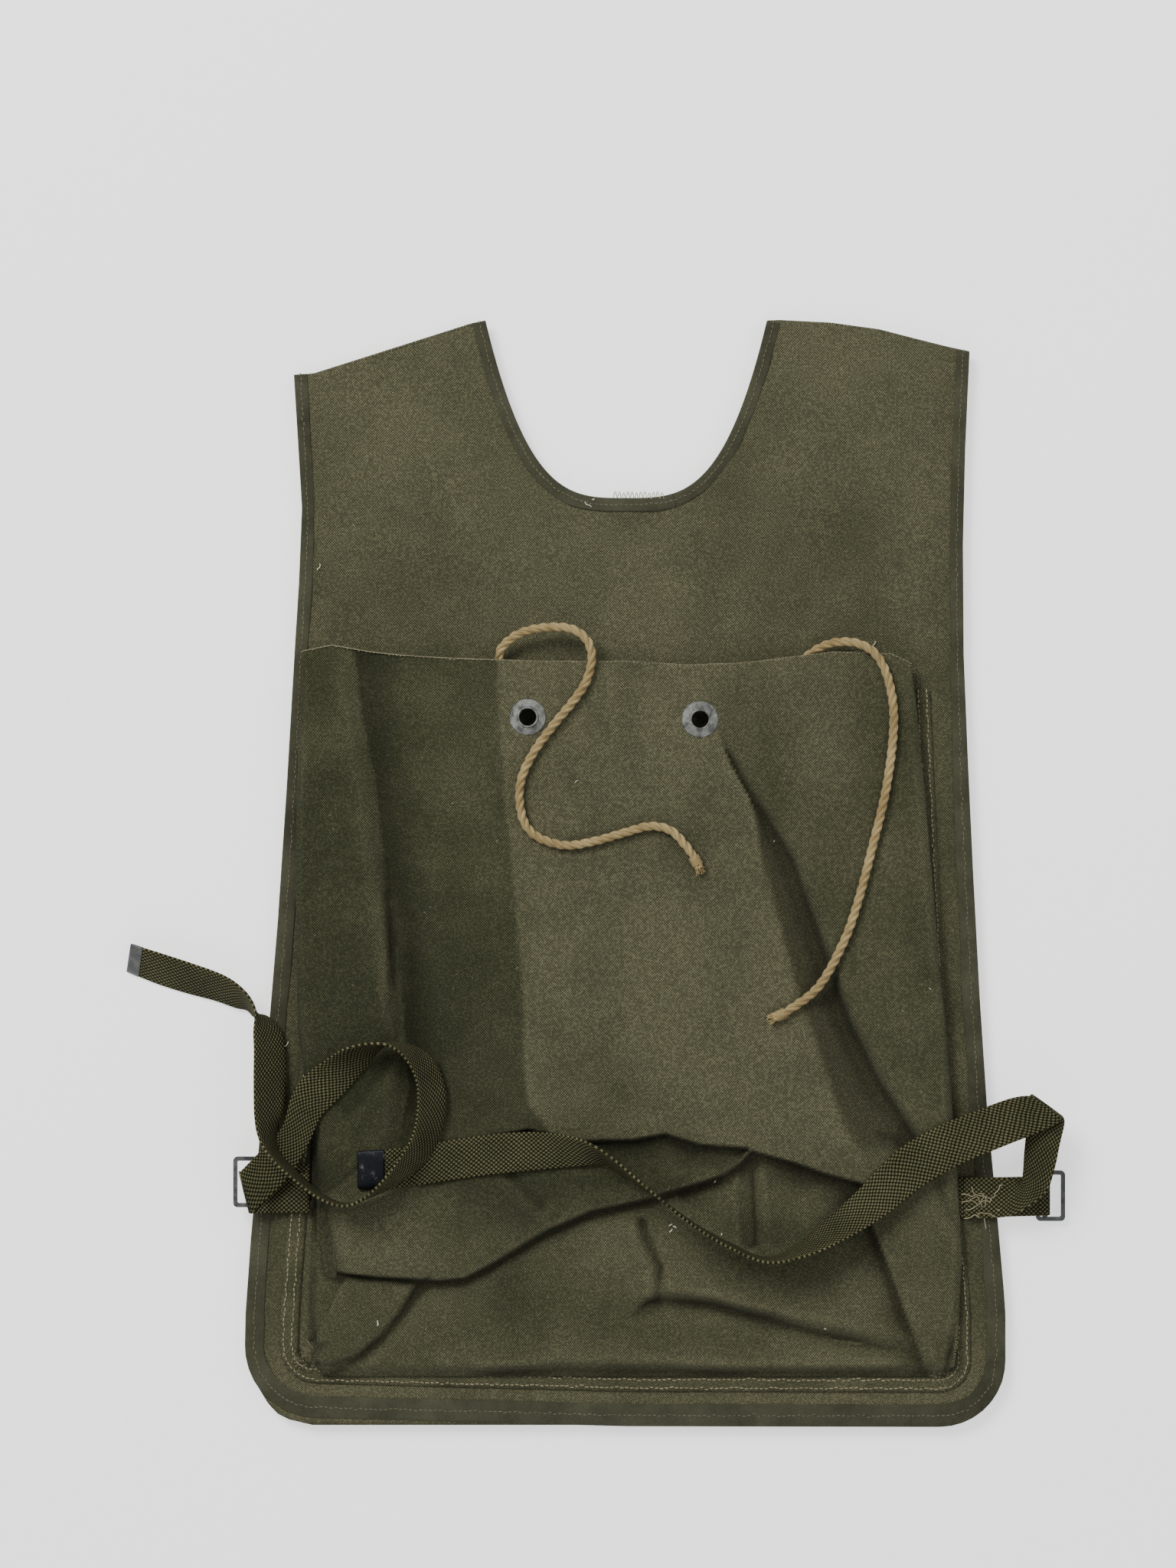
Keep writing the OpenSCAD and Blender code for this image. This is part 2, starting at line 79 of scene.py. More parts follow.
def smooth_line(points, step):
    """A plain Catmull-Rom curve through the points, resampled at an even arc step."""
    p = np.asarray(points, float)
    q = np.vstack([2 * p[:1] - p[1:2], p, 2 * p[-1:] - p[-2:-1]])
    t = np.linspace(0, 1, 24, endpoint=False)[:, None]
    runs = [0.5 * (2 * q[i + 1] + (q[i + 2] - q[i]) * t + (2 * q[i] - 5 * q[i + 1] + 4 * q[i + 2]
            - q[i + 3]) * t ** 2
                   + (3 * q[i + 1] - q[i] - 3 * q[i + 2] + q[i + 3]) * t ** 3) for i in range(len(p) - 1)]
    return resample(np.vstack(runs + [p[-1:]]), step)


def resample(line, step):
    """Points at an even arc step along a polyline."""
    d = np.concatenate([[0], np.cumsum(np.linalg.norm(np.diff(line, axis=0), axis=1))])
    n = max(2, int(round(d[-1] / step)) + 1)
    s = np.linspace(0, d[-1], n)
    return np.stack([np.interp(s, d, line[:, k]) for k in range(line.shape[1])], axis=1)


def arc_length(line):
    return np.concatenate([[0], np.cumsum(np.linalg.norm(np.diff(line, axis=0), axis=1))])


def to_line(x, y, line):
    """For each point: the distance to a polyline, the side (+ left of its way), and how far along it is
    (0 to 1)."""
    line = np.asarray(line, float)
    best = np.full(x.shape, 1e9)
    side = np.ones(x.shape)
    along = np.zeros(x.shape)
    s = arc_length(line)
    for i in range(len(line) - 1):
        ax, ay = line[i][:2]
        bx, by = line[i + 1][:2]
        dx, dy = bx - ax, by - ay
        l2 = dx * dx + dy * dy + 1e-9
        t = np.clip(((x - ax) * dx + (y - ay) * dy) / l2, 0, 1)
        d = np.hypot(x - ax - t * dx, y - ay - t * dy)
        near = d < best
        best = np.where(near, d, best)
        side = np.where(near, np.sign(dx * (y - ay) - dy * (x - ax)), side)
        along = np.where(near, (s[i] + t * (s[i + 1] - s[i])) / s[-1], along)
    return best, side, along


def crease(x, y, line, left_w, right_w, height, ends=0.12, taper=None):
    """A fold along a line: a bell across it with its own width on each side, which fades in and out at
    its ends. taper gives the height's shares at even steps along the line."""
    d, side, along = to_line(x, y, line)
    shape = np.where(side > 0, bump(d, left_w), bump(d, right_w))
    if taper is not None:
        shape = shape * np.interp(along, np.linspace(0, 1, len(taper)), taper)
    else:
        shape = shape * smoothstep(0, ends, along) * smoothstep(0, ends, 1 - along)
    return height * shape


def folded(z, x, y, rows):
    """z with a crease added for each row of (height, left width, right width, line, how its ends or
    heights run)."""
    for height, left_w, right_w, line, *more in rows:
        z = z + crease(x, y, line, left_w, right_w, height, **(more[0] if more else {}))
    return z


def inside(x, y, ring):
    """Signed distance to a closed outline, positive inside."""
    ring = np.asarray(ring, float)
    loop = np.vstack([ring, ring[:1]])
    d, _, _ = to_line(x, y, loop)
    odd = np.zeros(x.shape, bool)
    for i in range(len(ring)):
        ax, ay = loop[i]
        bx, by = loop[i + 1]
        cross = (ay > y) != (by > y)
        odd ^= cross & (x < (bx - ax) * (y - ay) / (by - ay + 1e-12) + ax)
    return np.where(odd, d, -d)


# ---------------------------------------------------------------- meshes

def make_mesh(name, verts, faces, material, uv=None, marks=None, flat=False):
    """A mesh object from points in millimetres and quads or triangles. uv is one pair a point, marks
    are named values a point."""
    mesh = bpy.data.meshes.new(name)
    verts = np.asarray(verts, float) * MM
    faces = np.asarray(faces, np.int32)
    k = faces.shape[1]
    mesh.vertices.add(len(verts))
    mesh.vertices.foreach_set("co", verts.astype(np.float32).ravel())
    mesh.loops.add(faces.size)
    mesh.loops.foreach_set("vertex_index", faces.ravel())
    mesh.polygons.add(len(faces))
    mesh.polygons.foreach_set("loop_start", np.arange(0, faces.size, k, dtype=np.int32))
    mesh.update(calc_edges=True)
    if uv is not None:
        layer = mesh.uv_layers.new(name="lay")
        layer.data.foreach_set("uv", (np.asarray(uv, float) * MM)[faces.ravel()].astype(np.float32).ravel())
    for key, values in (marks or {}).items():
        mesh.attributes.new(key, "FLOAT", "POINT").data.foreach_set("value",
                np.asarray(values, np.float32).ravel())
    mesh.validate()
    if not flat:
        mesh.polygons.foreach_set("use_smooth", np.ones(len(mesh.polygons), bool))
    obj = bpy.data.objects.new(name, mesh)
    bpy.context.scene.collection.objects.link(obj)
    obj.data.materials.append(material)
    return obj


def grid_normals(p):
    """Unit normals of a grid surface: the cross product of its two central differences."""
    n = np.cross(np.gradient(p, axis=1), np.gradient(p, axis=0))
    return n / (np.linalg.norm(n, axis=2, keepdims=True) + 1e-12)


def shell(name, p, thick, material, uv=None, marks=None, up=True):
    """A closed sheet of cloth: the grid p as one face, the same grid moved thick along its normals as
    the other, and a rim."""
    m, n = p.shape[:2]
    nor = grid_normals(p)
    if up and nor[..., 2].mean() < 0 or not up and nor[..., 2].mean() > 0:
        p = p[:, ::-1]
        nor = grid_normals(p)
        uv = None if uv is None else uv[:, ::-1]
        marks = {k: v[:, ::-1] for k, v in (marks or {}).items()}
    q = p - nor * thick
    verts = np.concatenate([p.reshape(-1, 3), q.reshape(-1, 3)])
    idx = np.arange(m * n).reshape(m, n)
    a, b, c, d = idx[:-1, :-1], idx[:-1, 1:], idx[1:, 1:], idx[1:, :-1]
    top = np.stack([a, b, c, d], -1).reshape(-1, 4)
    low = np.stack([d, c, b, a], -1).reshape(-1, 4) + m * n
    rim = np.concatenate([idx[0], idx[1:, -1], idx[-1, -2::-1], idx[-2:0:-1, 0]])
    nxt = np.roll(rim, -1)
    side = np.stack([nxt, rim, rim + m * n, nxt + m * n], -1)
    if uv is None:
        uv = p[..., :2]
    uv = np.concatenate([uv.reshape(-1, 2)] * 2)
    marks = {k: np.concatenate([v.ravel()] * 2) for k, v in (marks or {}).items()}
    return make_mesh(name, verts, np.concatenate([top, low, side]), material, uv, marks)


def sweep(name, rings, material, uv=None, marks=None, caps=True, flat=False):
    """A closed profile carried along a path: rings is (stations, points round, 3); each end is closed
    with a fan on its middle."""
    m, n = rings.shape[:2]
    idx = np.arange(m * n).reshape(m, n)
    nx = np.roll(idx, -1, axis=1)
    quads = np.stack([idx[:-1], nx[:-1], nx[1:], idx[1:]], -1).reshape(-1, 4)
    verts = rings.reshape(-1, 3)
    uvs = (np.zeros((m, n, 2)) if uv is None else uv).reshape(-1, 2)
    vals = {k: v.ravel() for k, v in (marks or {}).items()}
    if caps:
        mid = rings[[0, -1]].mean(1)
        verts = np.vstack([verts, mid])
        uvs = np.vstack([uvs, uvs[:1], uvs[-1:]])
        vals = {k: np.append(v, [v[0], v[-1]]) for k, v in vals.items()}
        k0, k1 = m * n, m * n + 1
        a = np.stack([nx[0], idx[0], np.full(n, k0), np.full(n, k0)], -1)
        b = np.stack([idx[-1], nx[-1], np.full(n, k1), np.full(n, k1)], -1)
        tri = np.concatenate([a, b])[:, :3]
        quads = np.concatenate([quads[:, [0, 1, 2]], quads[:, [0, 2, 3]], tri])
    # the rings run so that their faces point outwards
    obj = make_mesh(name, verts, quads, material, uvs, vals, flat)
    c = rings.mean(1)
    t = c[min(1, m - 1)] - c[0]
    spin = np.cross(rings[0][0] - c[0], rings[0][1] - c[0])
    if np.dot(spin, t) < 0:
        obj.data.flip_normals()
    return obj


def frames_along(line, up=(0, 0, 1)):
    """Tangent, side and up vectors of a path, with the side kept level."""
    t = np.gradient(line, axis=0)
    t /= np.linalg.norm(t, axis=1, keepdims=True) + 1e-12
    s = np.cross(np.asarray(up, float), t)
    s /= np.linalg.norm(s, axis=1, keepdims=True) + 1e-12
    return t, s, np.cross(t, s)


def thread(name, lines, r, material, sides=5):
    """Loose threads and fibres: each line is a path, swept with a thin round profile, all in one mesh."""
    verts, faces, base = [], [], 0
    for line in lines:
        _, s, u = frames_along(line)
        k = np.arange(sides) * 2 * math.pi / sides
        fade = np.ones(len(line))
        fade[[0, -1]] = 0.5
        ring = line[:, None] + r * fade[:, None, None] * (np.cos(k)[None, :, None] * s[:, None]
                + np.sin(k)[None, :, None] * u[:, None])
        m = len(line)
        idx = np.arange(m * sides).reshape(m, sides)
        nx = np.roll(idx, -1, 1)
        q = np.stack([idx[:-1], nx[:-1], nx[1:], idx[1:]], -1).reshape(-1, 4)
        verts += [ring.reshape(-1, 3), line[[0, -1]]]
        c0, c1 = m * sides, m * sides + 1
        a = np.stack([nx[0], idx[0], np.full(sides, c0)], -1)
        b = np.stack([idx[-1], nx[-1], np.full(sides, c1)], -1)
        faces += [np.concatenate([q[:, [0, 1, 2]], q[:, [0, 2, 3]], a, b]) + base]
        base += m * sides + 2
    return make_mesh(name, np.vstack(verts), np.vstack(faces), material)


def stitches(name, line, pitch, length, r, material, wander=0.25, skip=0.0, seed=1):
    """A row of stitches along a path: each is a short spindle of 6 sides laid along the path's way, a
    little uneven."""
    rr = np.random.default_rng(seed)
    c = resample(np.asarray(line, float), pitch)
    t, s, u = frames_along(c)
    n = len(c)
    c = c + s * rr.normal(0, wander, n)[:, None] + u * (r * 0.25)
    turn = rr.normal(0, 0.10, n)
    t = t * np.cos(turn)[:, None] + s * np.sin(turn)[:, None]
    s = np.cross(u, t)
    keep = rr.random(n) >= skip
    c, t, s, u = c[keep], t[keep], s[keep], u[keep]
    ln = length * rr.uniform(0.85, 1.1, len(c))
    k = np.arange(6) * math.pi / 3
    where = np.array([-0.5, -0.3, 0.3, 0.5])
    fat = np.array([0.35, 1.0, 1.0, 0.35])
    drop = np.array([-0.7, 0.15, 0.15, -0.7])
    ring = (c[:, None, None] + (where[None, :, None, None] * ln[:, None, None, None]) * t[:, None, None]
            + r * fat[None, :, None, None] * (np.cos(k)[None, None, :, None] * s[:, None, None]
            + np.sin(k)[None, None, :, None] * u[:, None, None])
            + r * drop[None, :, None, None] * u[:, None, None])
    idx = np.arange(24).reshape(4, 6)
    nx = np.roll(idx, -1, 1)
    q = np.stack([idx[:-1], nx[:-1], nx[1:], idx[1:]], -1).reshape(-1, 4)
    cap = np.array([[5, 4, 3, 2], [5, 2, 1, 0], [18, 19, 20, 21], [18, 21, 22, 23]])
    f = np.concatenate([q, cap])
    faces = (f[None] + 24 * np.arange(len(c))[:, None, None]).reshape(-1, 4)
    return make_mesh(name, ring.reshape(-1, 3), faces, material)


def webbing(name, edges, thick, material, across=8, step=2.0, crown=0.10):
    """Woven strap from stations of (one selvage, other selvage): both selvages are smooth curves with
    even steps, and the section between them is a flat bar with round edges, set square to the way it
    runs."""
    e = np.asarray(edges, float).reshape(len(edges), 6)
    e = smooth_line(e, step * 1.5)
    a, b = e[:, :3], e[:, 3:]
    mid = (a + b) / 2
    t = np.gradient(mid, axis=0)
    t /= np.linalg.norm(t, axis=1, keepdims=True)
    w = b - a
    n = np.cross(t, w)
    n /= np.linalg.norm(n, axis=1, keepdims=True) + 1e-9
    half = np.linalg.norm(w, axis=1) / 2
    wd = w / (2 * half[:, None])
    # section: along the top, round one selvage, back along the bottom, round the other
    v = np.linspace(-1, 1, across + 1)
    r = thick / 2
    top = [(x, r * (1 + crown * (1 - x * x))) for x in v]
    cap_a = [(1 + 0.9 * r / (WEB / 2) * math.sin(q), r * math.cos(q))
             for q in (math.pi / 4, math.pi / 2, 3 * math.pi / 4)]
    low = [(x, -r * (1 + crown * (1 - x * x))) for x in v[::-1]]
    cap_b = [(-x, z) for x, z in cap_a[::-1]]
    sec = np.array(top + cap_a + low + cap_b)
    rings = (mid[:, None] + sec[None, :, :1] * half[:, None, None] * wd[:, None]
             + sec[None, :, 1:] * n[:, None])
    s = arc_length(mid)
    uv = np.stack([np.broadcast_to(sec[None, :, 0] * (WEB / 2), rings.shape[:2]),
                   np.broadcast_to(s[:, None], rings.shape[:2])], -1)
    obj = sweep(name, rings, material, uv)
    return obj, s[-1]


# ---------------------------------------------------------------- the bag's outlines, as in the part

left_side = np.array([(-227, 341), (-223.5, 284), (-221.5, 250), (-223.5, 200), (-226.5, 152), (-232, 58),
                      (-238, -32),
                      (-247, -140), (-252.5, -205), (-256.5, -250), (-260, -300), (-260.5, -322)], float)
right_side = np.array([(259, -332), (259, -300), (258, -285), (254, -240), (246.5, -160), (241.5, -85),
                       (237, 0), (233.5, 75), (230.5, 150),
                       (230, 225), (231.5, 290), (234.5, 357)], float)
corner_l = np.array([(-211 + 49.5 * math.cos(a), -322 + 49.5 * math.sin(a))
                     for a in np.radians(np.linspace(188, 270, 9))])
corner_r = np.array([(214 + 45 * math.cos(a), -332.5 + 45 * math.sin(a))
                     for a in np.radians(np.linspace(270, 352, 9))])
outline = np.vstack([left_side, corner_l, [(0, -377)], corner_r, right_side])
NECK_HALF, NECK_Y, NECK_D = 96.0, 257.0, 121.0


def neck_y(x):
    """The head opening's edge: its bottom plus its depth times |x / half width| to the power 10/3."""
    return NECK_Y + NECK_D * np.abs(x / NECK_HALF) ** (10 / 3)


def top_y(x):
    """The top of each half: the left shoulder, the head opening, the right shoulder."""
    left = np.interp(x, [-230, -213, -106, -96], [340, 342, 376, 378])
    right = np.interp(x, [96, 105, 140, 173, 196, 220, 236], [378, 378.3, 376.5, 372, 366, 360, 356.6])
    return np.where(np.abs(x) < NECK_HALF, neck_y(x), np.where(x < 0, left, right))


def side_x(y):
    """The left and the right edge at a height, with the round lower corners."""
    l = np.interp(y, [-377, -371, -362, -347, -322, -300, -250, -205, -140, -32, 58, 152, 200, 250, 284,
                      341],
                  [-211, -236, -245, -254, -260.5, -260, -256.5, -252.5, -247, -238, -232, -226.5, -223.5,
                   -221.5, -223.5, -227])
    r = np.interp(y, [-377, -371, -362, -347, -332, -300, -285, -240, -160, -85, 0, 75, 150, 225, 290, 357],
                  [214, 236, 247, 256.5, 259, 259, 258, 254, 246.5, 241.5, 237, 233.5, 230.5, 230, 231.5,
                   234.5])
    return l, r


# ---------------------------------------------------------------- materials

def new_material(name, rough=0.9, sheen=0.0, metallic=0.0, specular=0.3):
    """A node material with its shader's constant values on their own sockets."""
    m = bpy.data.materials.new(name)
    m.use_nodes = True
    nt = m.node_tree
    b = nt.nodes["Principled BSDF"]
    b.inputs["Roughness"].default_value = rough
    b.inputs["Metallic"].default_value = metallic
    b.inputs["Specular IOR Level"].default_value = specular
    b.inputs["Sheen Weight"].default_value = sheen
    b.inputs["Sheen Roughness"].default_value = 0.5
    return m, nt, b


def node(nt, kind, inputs=None, **props):
    """A node with its properties and its inputs set: a value, or an output to link from."""
    n = nt.nodes.new(kind)
    for k, v in props.items():
        setattr(n, k, v)
    for k, v in (inputs or {}).items():
        if isinstance(v, bpy.types.NodeSocket):
            nt.links.new(v, n.inputs[k])
        else:
            n.inputs[k].default_value = v
    return n


def maths(op):
    """A function that adds one arithmetic node and gives its output."""
    def add(nt, a, b=0.0):
        return node(nt, "ShaderNodeMath", {0: a, 1: b}, operation=op).outputs[0]
    return add


plus, minus, times, larger = maths("ADD"), maths("SUBTRACT"), maths("MULTIPLY"), maths("MAXIMUM")
sine, cosine, size_of = maths("SINE"), maths("COSINE"), maths("ABSOLUTE")


def mix(nt, fac, a, b, blend="MIX"):
    n = node(nt, "ShaderNodeMix", data_type="RGBA", blend_type=blend)
    for k, v in ((0, fac), (6, a), (7, b)):
        if isinstance(v, bpy.types.NodeSocket):
            nt.links.new(v, n.inputs[k])
        else:
            n.inputs[k].default_value = v if k == 0 else (*v, 1)
    return n.outputs[2]


def noise(nt, vec, scale, detail=3.0, rough=0.55):
    return node(nt, "ShaderNodeTexNoise", {"Vector": vec, "Scale": scale, "Detail": detail,
            "Roughness": rough}).outputs["Fac"]


def ramp(nt, fac, lo, hi):
    """fac stretched so that lo becomes 0 and hi becomes 1."""
    return node(nt, "ShaderNodeMapRange", {"Value": fac, "From Min": lo, "From Max": hi},
                clamp=True).outputs["Result"]


def attribute(nt, name):
    return node(nt, "ShaderNodeAttribute", attribute_name=name).outputs["Fac"]


def coordinates(nt):
    """The two ways over the piece's own lay, across and along it, and its place in the bag, all in
    metres."""
    lay = node(nt, "ShaderNodeSeparateXYZ", {0: node(nt, "ShaderNodeUVMap", uv_map="lay").outputs[0]})
    return lay.outputs[0], lay.outputs[1], node(nt, "ShaderNodeTexCoord").outputs["Object"]


def dress(nt, b, colour, height, strength=0.8):
    """Join a colour and a height, in metres, to the shader."""
    nt.links.new(colour, b.inputs["Base Color"])
    relief = node(nt, "ShaderNodeBump", {"Strength": strength, "Distance": 1.0, "Height": height})
    nt.links.new(relief.outputs[0], b.inputs["Normal"])


def canvas_material(name, dark, pale, pitch=0.00165, use_marks=True):
    """Cotton duck: a plain weave of paired threads, where warp and weft take turns on top, over slow
    fading, dirt and painted shade."""
    m, nt, b = new_material(name, rough=0.95, sheen=0.04, specular=0.15)
    across, along, obj = coordinates(nt)
    jitter = times(nt, minus(nt, noise(nt, obj, 90, 1), 0.5), 0.0016)
    u = plus(nt, across, jitter)
    v = plus(nt, along, jitter)
    k = 2 * math.pi / pitch
    su = sine(nt, times(nt, u, k))
    sv = sine(nt, times(nt, v, k * 0.92))
    check = times(nt, su, sv)
    fine = noise(nt, obj, 900, 2, 0.7)
    speck = noise(nt, obj, 330, 2, 0.6)
    mottle = noise(nt, obj, 28, 4, 0.6)
    cloud = noise(nt, obj, 7.5, 3, 0.5)
    if use_marks:
        fade = plus(nt, attribute(nt, "fade"), times(nt, minus(nt, mottle, 0.5), 0.9))
        soil_and_painted_shade = attribute(nt, "soil_and_painted_shade")
    else:
        fade = plus(nt, 0.55, times(nt, minus(nt, mottle, 0.5), 0.9))
        soil_and_painted_shade = 0.0
    fade = plus(nt, fade, times(nt, minus(nt, cloud, 0.5), 0.8))
    fade = node(nt, "ShaderNodeClamp", {0: fade}).outputs[0]
    col = mix(nt, fade, dark, pale)
    crown = ramp(nt, check, -0.9, 0.9)
    col = mix(nt, times(nt, crown, 0.9), col, (1.95, 1.92, 1.85), "MULTIPLY")
    col = mix(nt, times(nt, minus(nt, 1.0, crown), 0.8), col, (0.14, 0.14, 0.12), "MULTIPLY")
    col = mix(nt, ramp(nt, fine, 0.62, 0.30), col, (0.82, 0.80, 0.76), "MULTIPLY")
    slub = noise(nt, obj, 760, 1, 0.4)
    col = mix(nt, ramp(nt, slub, 0.58, 0.36), col, (0.70, 0.70, 0.68), "MULTIPLY")
    col = mix(nt, ramp(nt, slub, 0.52, 0.70), col, (1.35, 1.33, 1.3), "MULTIPLY")
    col = mix(nt, times(nt, ramp(nt, speck, 0.66, 0.74), 0.5), col, (0.035, 0.028, 0.018))
    col = mix(nt, times(nt, ramp(nt, speck, 0.30, 0.24), 0.35), col, (0.24, 0.21, 0.14))
    # the canvas is darkened by its marks: real dirt, and painted shade in folds, hollows and under lapped
    # edges
    col = mix(nt, soil_and_painted_shade, col, (0.30, 0.29, 0.27), "MULTIPLY") if use_marks else col
    height = plus(nt, times(nt, check, 0.00022), times(nt, fine, 0.00018))
    dress(nt, b, col, plus(nt, height, times(nt, mottle, 0.0008)))
    return m


def tape_material(name, dark, pale):
    """Binding tape: fine cords across the tape, in mottled colour."""
    m, nt, b = new_material(name, rough=0.93, sheen=0.05, specular=0.15)
    across, along, obj = coordinates(nt)
    rib = sine(nt, times(nt, along, 2 * math.pi / 0.0010))
    cord = sine(nt, times(nt, across, 2 * math.pi / 0.0011))
    weave = times(nt, rib, cord)
    mottle = noise(nt, obj, 40, 4, 0.6)
    fine = noise(nt, obj, 800, 2, 0.6)
    col = mix(nt, ramp(nt, mottle, 0.30, 0.70), dark, pale)
    col = mix(nt, times(nt, ramp(nt, weave, -0.8, 0.9), 0.5), col, (1.45, 1.42, 1.4), "MULTIPLY")
    col = mix(nt, ramp(nt, fine, 0.6, 0.3), col, (0.75, 0.74, 0.72), "MULTIPLY")
    dress(nt, b, col, plus(nt, times(nt, weave, 0.00010), times(nt, mottle, 0.0007)))
    return m


def webbing_material(name, dark, pale):
    """Heavy webbing: plump warp bundles in staggered rows, one over one under, darker between them."""
    m, nt, b = new_material(name, rough=0.92, sheen=0.0, specular=0.08)
    across, along, obj = coordinates(nt)
    wob = times(nt, minus(nt, noise(nt, obj, 120, 1), 0.5), 0.0012)
    u = times(nt, plus(nt, across, wob), 2 * math.pi / 0.0058)
    v = times(nt, plus(nt, along, wob), 2 * math.pi / 0.0068)
    # two sets of bundles, the second half a pitch along and half a pitch across
    a = times(nt, sine(nt, u), sine(nt, v))
    c = times(nt, cosine(nt, u), cosine(nt, v))
    lump = larger(nt, size_of(nt, a), size_of(nt, c))
    fine = noise(nt, obj, 700, 2, 0.7)
    mottle = noise(nt, obj, 30, 4, 0.6)
    edge = ramp(nt, size_of(nt, across), 0.0098, 0.0127)
    col = mix(nt, ramp(nt, mottle, 0.3, 0.7), dark, pale)
    col = mix(nt, ramp(nt, lump, 0.86, 0.52), col, (0.16, 0.16, 0.14), "MULTIPLY")
    col = mix(nt, ramp(nt, lump, 0.80, 1.0), col, (1.5, 1.46, 1.4), "MULTIPLY")
    col = mix(nt, times(nt, edge, 0.5), col, (1.25, 1.2, 1.1), "MULTIPLY")
    col = mix(nt, ramp(nt, fine, 0.6, 0.3), col, (0.7, 0.7, 0.68), "MULTIPLY")
    dress(nt, b, col, plus(nt, times(nt, lump, 0.0012), times(nt, fine, 0.00015)), 0.9)
    return m


def yarn_material(name, dark, pale, pitch=0.0009, rough=0.85):
    """Twisted yarn: fine slanting fibres over the strand, from its own along and round coordinates,
    with soiled patches."""
    m, nt, b = new_material(name, rough=rough, sheen=0.10, specular=0.25)
    across, along, obj = coordinates(nt)
    slant = plus(nt, across, times(nt, along, 0.7))
    line = sine(nt, times(nt, slant, 2 * math.pi / pitch))
    mottle = noise(nt, obj, 60, 4, 0.6)
    fine = noise(nt, obj, 1500, 2, 0.6)
    col = mix(nt, ramp(nt, mottle, 0.3, 0.72), pale, dark)
    col = mix(nt, times(nt, ramp(nt, line, 0.2, -0.9), 0.5), col, (0.62, 0.58, 0.50), "MULTIPLY")
    col = mix(nt, ramp(nt, fine, 0.62, 0.3), col, (0.78, 0.75, 0.70), "MULTIPLY")
    dress(nt, b, col, plus(nt, times(nt, line, 0.00012), times(nt, fine, 0.00010)))
    return m


def metal_material(name, base, worn, rough, lo, hi, metallic=0.7, scale=180):
    """Dull plated steel: a base and a worn colour in patches, small pits, and gloss that varies in patches.
    """
    m, nt, b = new_material(name, rough=rough, metallic=metallic, specular=0.4)
    obj = node(nt, "ShaderNodeTexCoord").outputs["Object"]
    patch = noise(nt, obj, scale, 4, 0.65)
    pit = noise(nt, obj, scale * 6, 2, 0.6)
    col = mix(nt, ramp(nt, patch, lo, hi), base, worn)
    col = mix(nt, ramp(nt, pit, 0.60, 0.72), col, (0.35, 0.32, 0.28), "MULTIPLY")
    gloss = node(nt, "ShaderNodeMapRange", {"Value": patch, "From Min": 0.3, "From Max": 0.7,
                                            "To Min": rough - 0.12, "To Max": rough + 0.15})
    nt.links.new(gloss.outputs[0], b.inputs["Roughness"])
    dress(nt, b, col, times(nt, patch, 0.0004), 0.5)
    return m


duck = canvas_material("faded_duck", (0.038, 0.042, 0.022), (0.102, 0.101, 0.061))
plain_duck = canvas_material("plain_duck", (0.056, 0.059, 0.032), (0.100, 0.099, 0.059), use_marks=False)
binding_tape = tape_material("binding_tape", (0.034, 0.035, 0.021), (0.064, 0.064, 0.040))
strap_web = webbing_material("strap_webbing", (0.072, 0.072, 0.038), (0.118, 0.115, 0.063))
rope_yarn = yarn_material("rope_yarn", (0.27, 0.19, 0.075), (0.54, 0.42, 0.20))
pale_thread = yarn_material("pale_thread", (0.20, 0.18, 0.10), (0.40, 0.36, 0.23), pitch=0.0006)
drab_thread = yarn_material("drab_thread", (0.11, 0.10, 0.06), (0.22, 0.20, 0.13), pitch=0.0006)
white_fluff = yarn_material("white_fluff", (0.55, 0.52, 0.42), (0.80, 0.76, 0.66), pitch=0.0008)
zinc = metal_material("dull_zinc", (0.050, 0.055, 0.055), (0.13, 0.14, 0.135), 0.50, 0.35, 0.65)
grommet_metal = metal_material("grommet_zinc", (0.085, 0.088, 0.078), (0.27, 0.28, 0.265), 0.50, 0.38, 0.66)
tip_lacquer = metal_material("tip_lacquer", (0.008, 0.010, 0.014), (0.16, 0.16, 0.15), 0.38, 0.60, 0.70,
        metallic=0.5, scale=150)
grey_tip = metal_material("worn_tip", (0.075, 0.080, 0.085), (0.16, 0.16, 0.14), 0.5, 0.4, 0.7,
        metallic=0.6, scale=150)


def fit(piece, slot, body, *nodes):
    """Hide the nodes that a piece stands for, and hang it on the body that it rides on. The slot is not
    used.
    """
    if nodes:
        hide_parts(*nodes)
    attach(piece, body)



# ---------------------------------------------------------------- camera and light

def aim(obj, spot, target):
    """Put obj at spot, in metres, looking at target."""
    d = np.asarray(target, float) - np.asarray(spot, float)
    obj.location = spot
    q = mathutils.Vector(d).to_track_quat("-Z", "Y")
    obj.rotation_euler = q.to_euler()


camera = bpy.data.objects.new("camera", bpy.data.cameras.new("camera"))
bpy.context.scene.collection.objects.link(camera)
bpy.context.scene.camera = camera
# metres: the point below the camera, its height, and the height of what it takes in 2.585 m below it
LOOK_X, LOOK_Y, CAMERA_Z = -0.0261, 0.0616, 2.6
VIEW_DEPTH, VIEW_HEIGHT = 2.585, 1.069
SENSOR = 36
camera.location = (LOOK_X, LOOK_Y, CAMERA_Z)
camera.data.sensor_fit = "VERTICAL"
camera.data.sensor_height = SENSOR
camera.data.lens = SENSOR * VIEW_DEPTH / VIEW_HEIGHT
camera.data.clip_end = 20

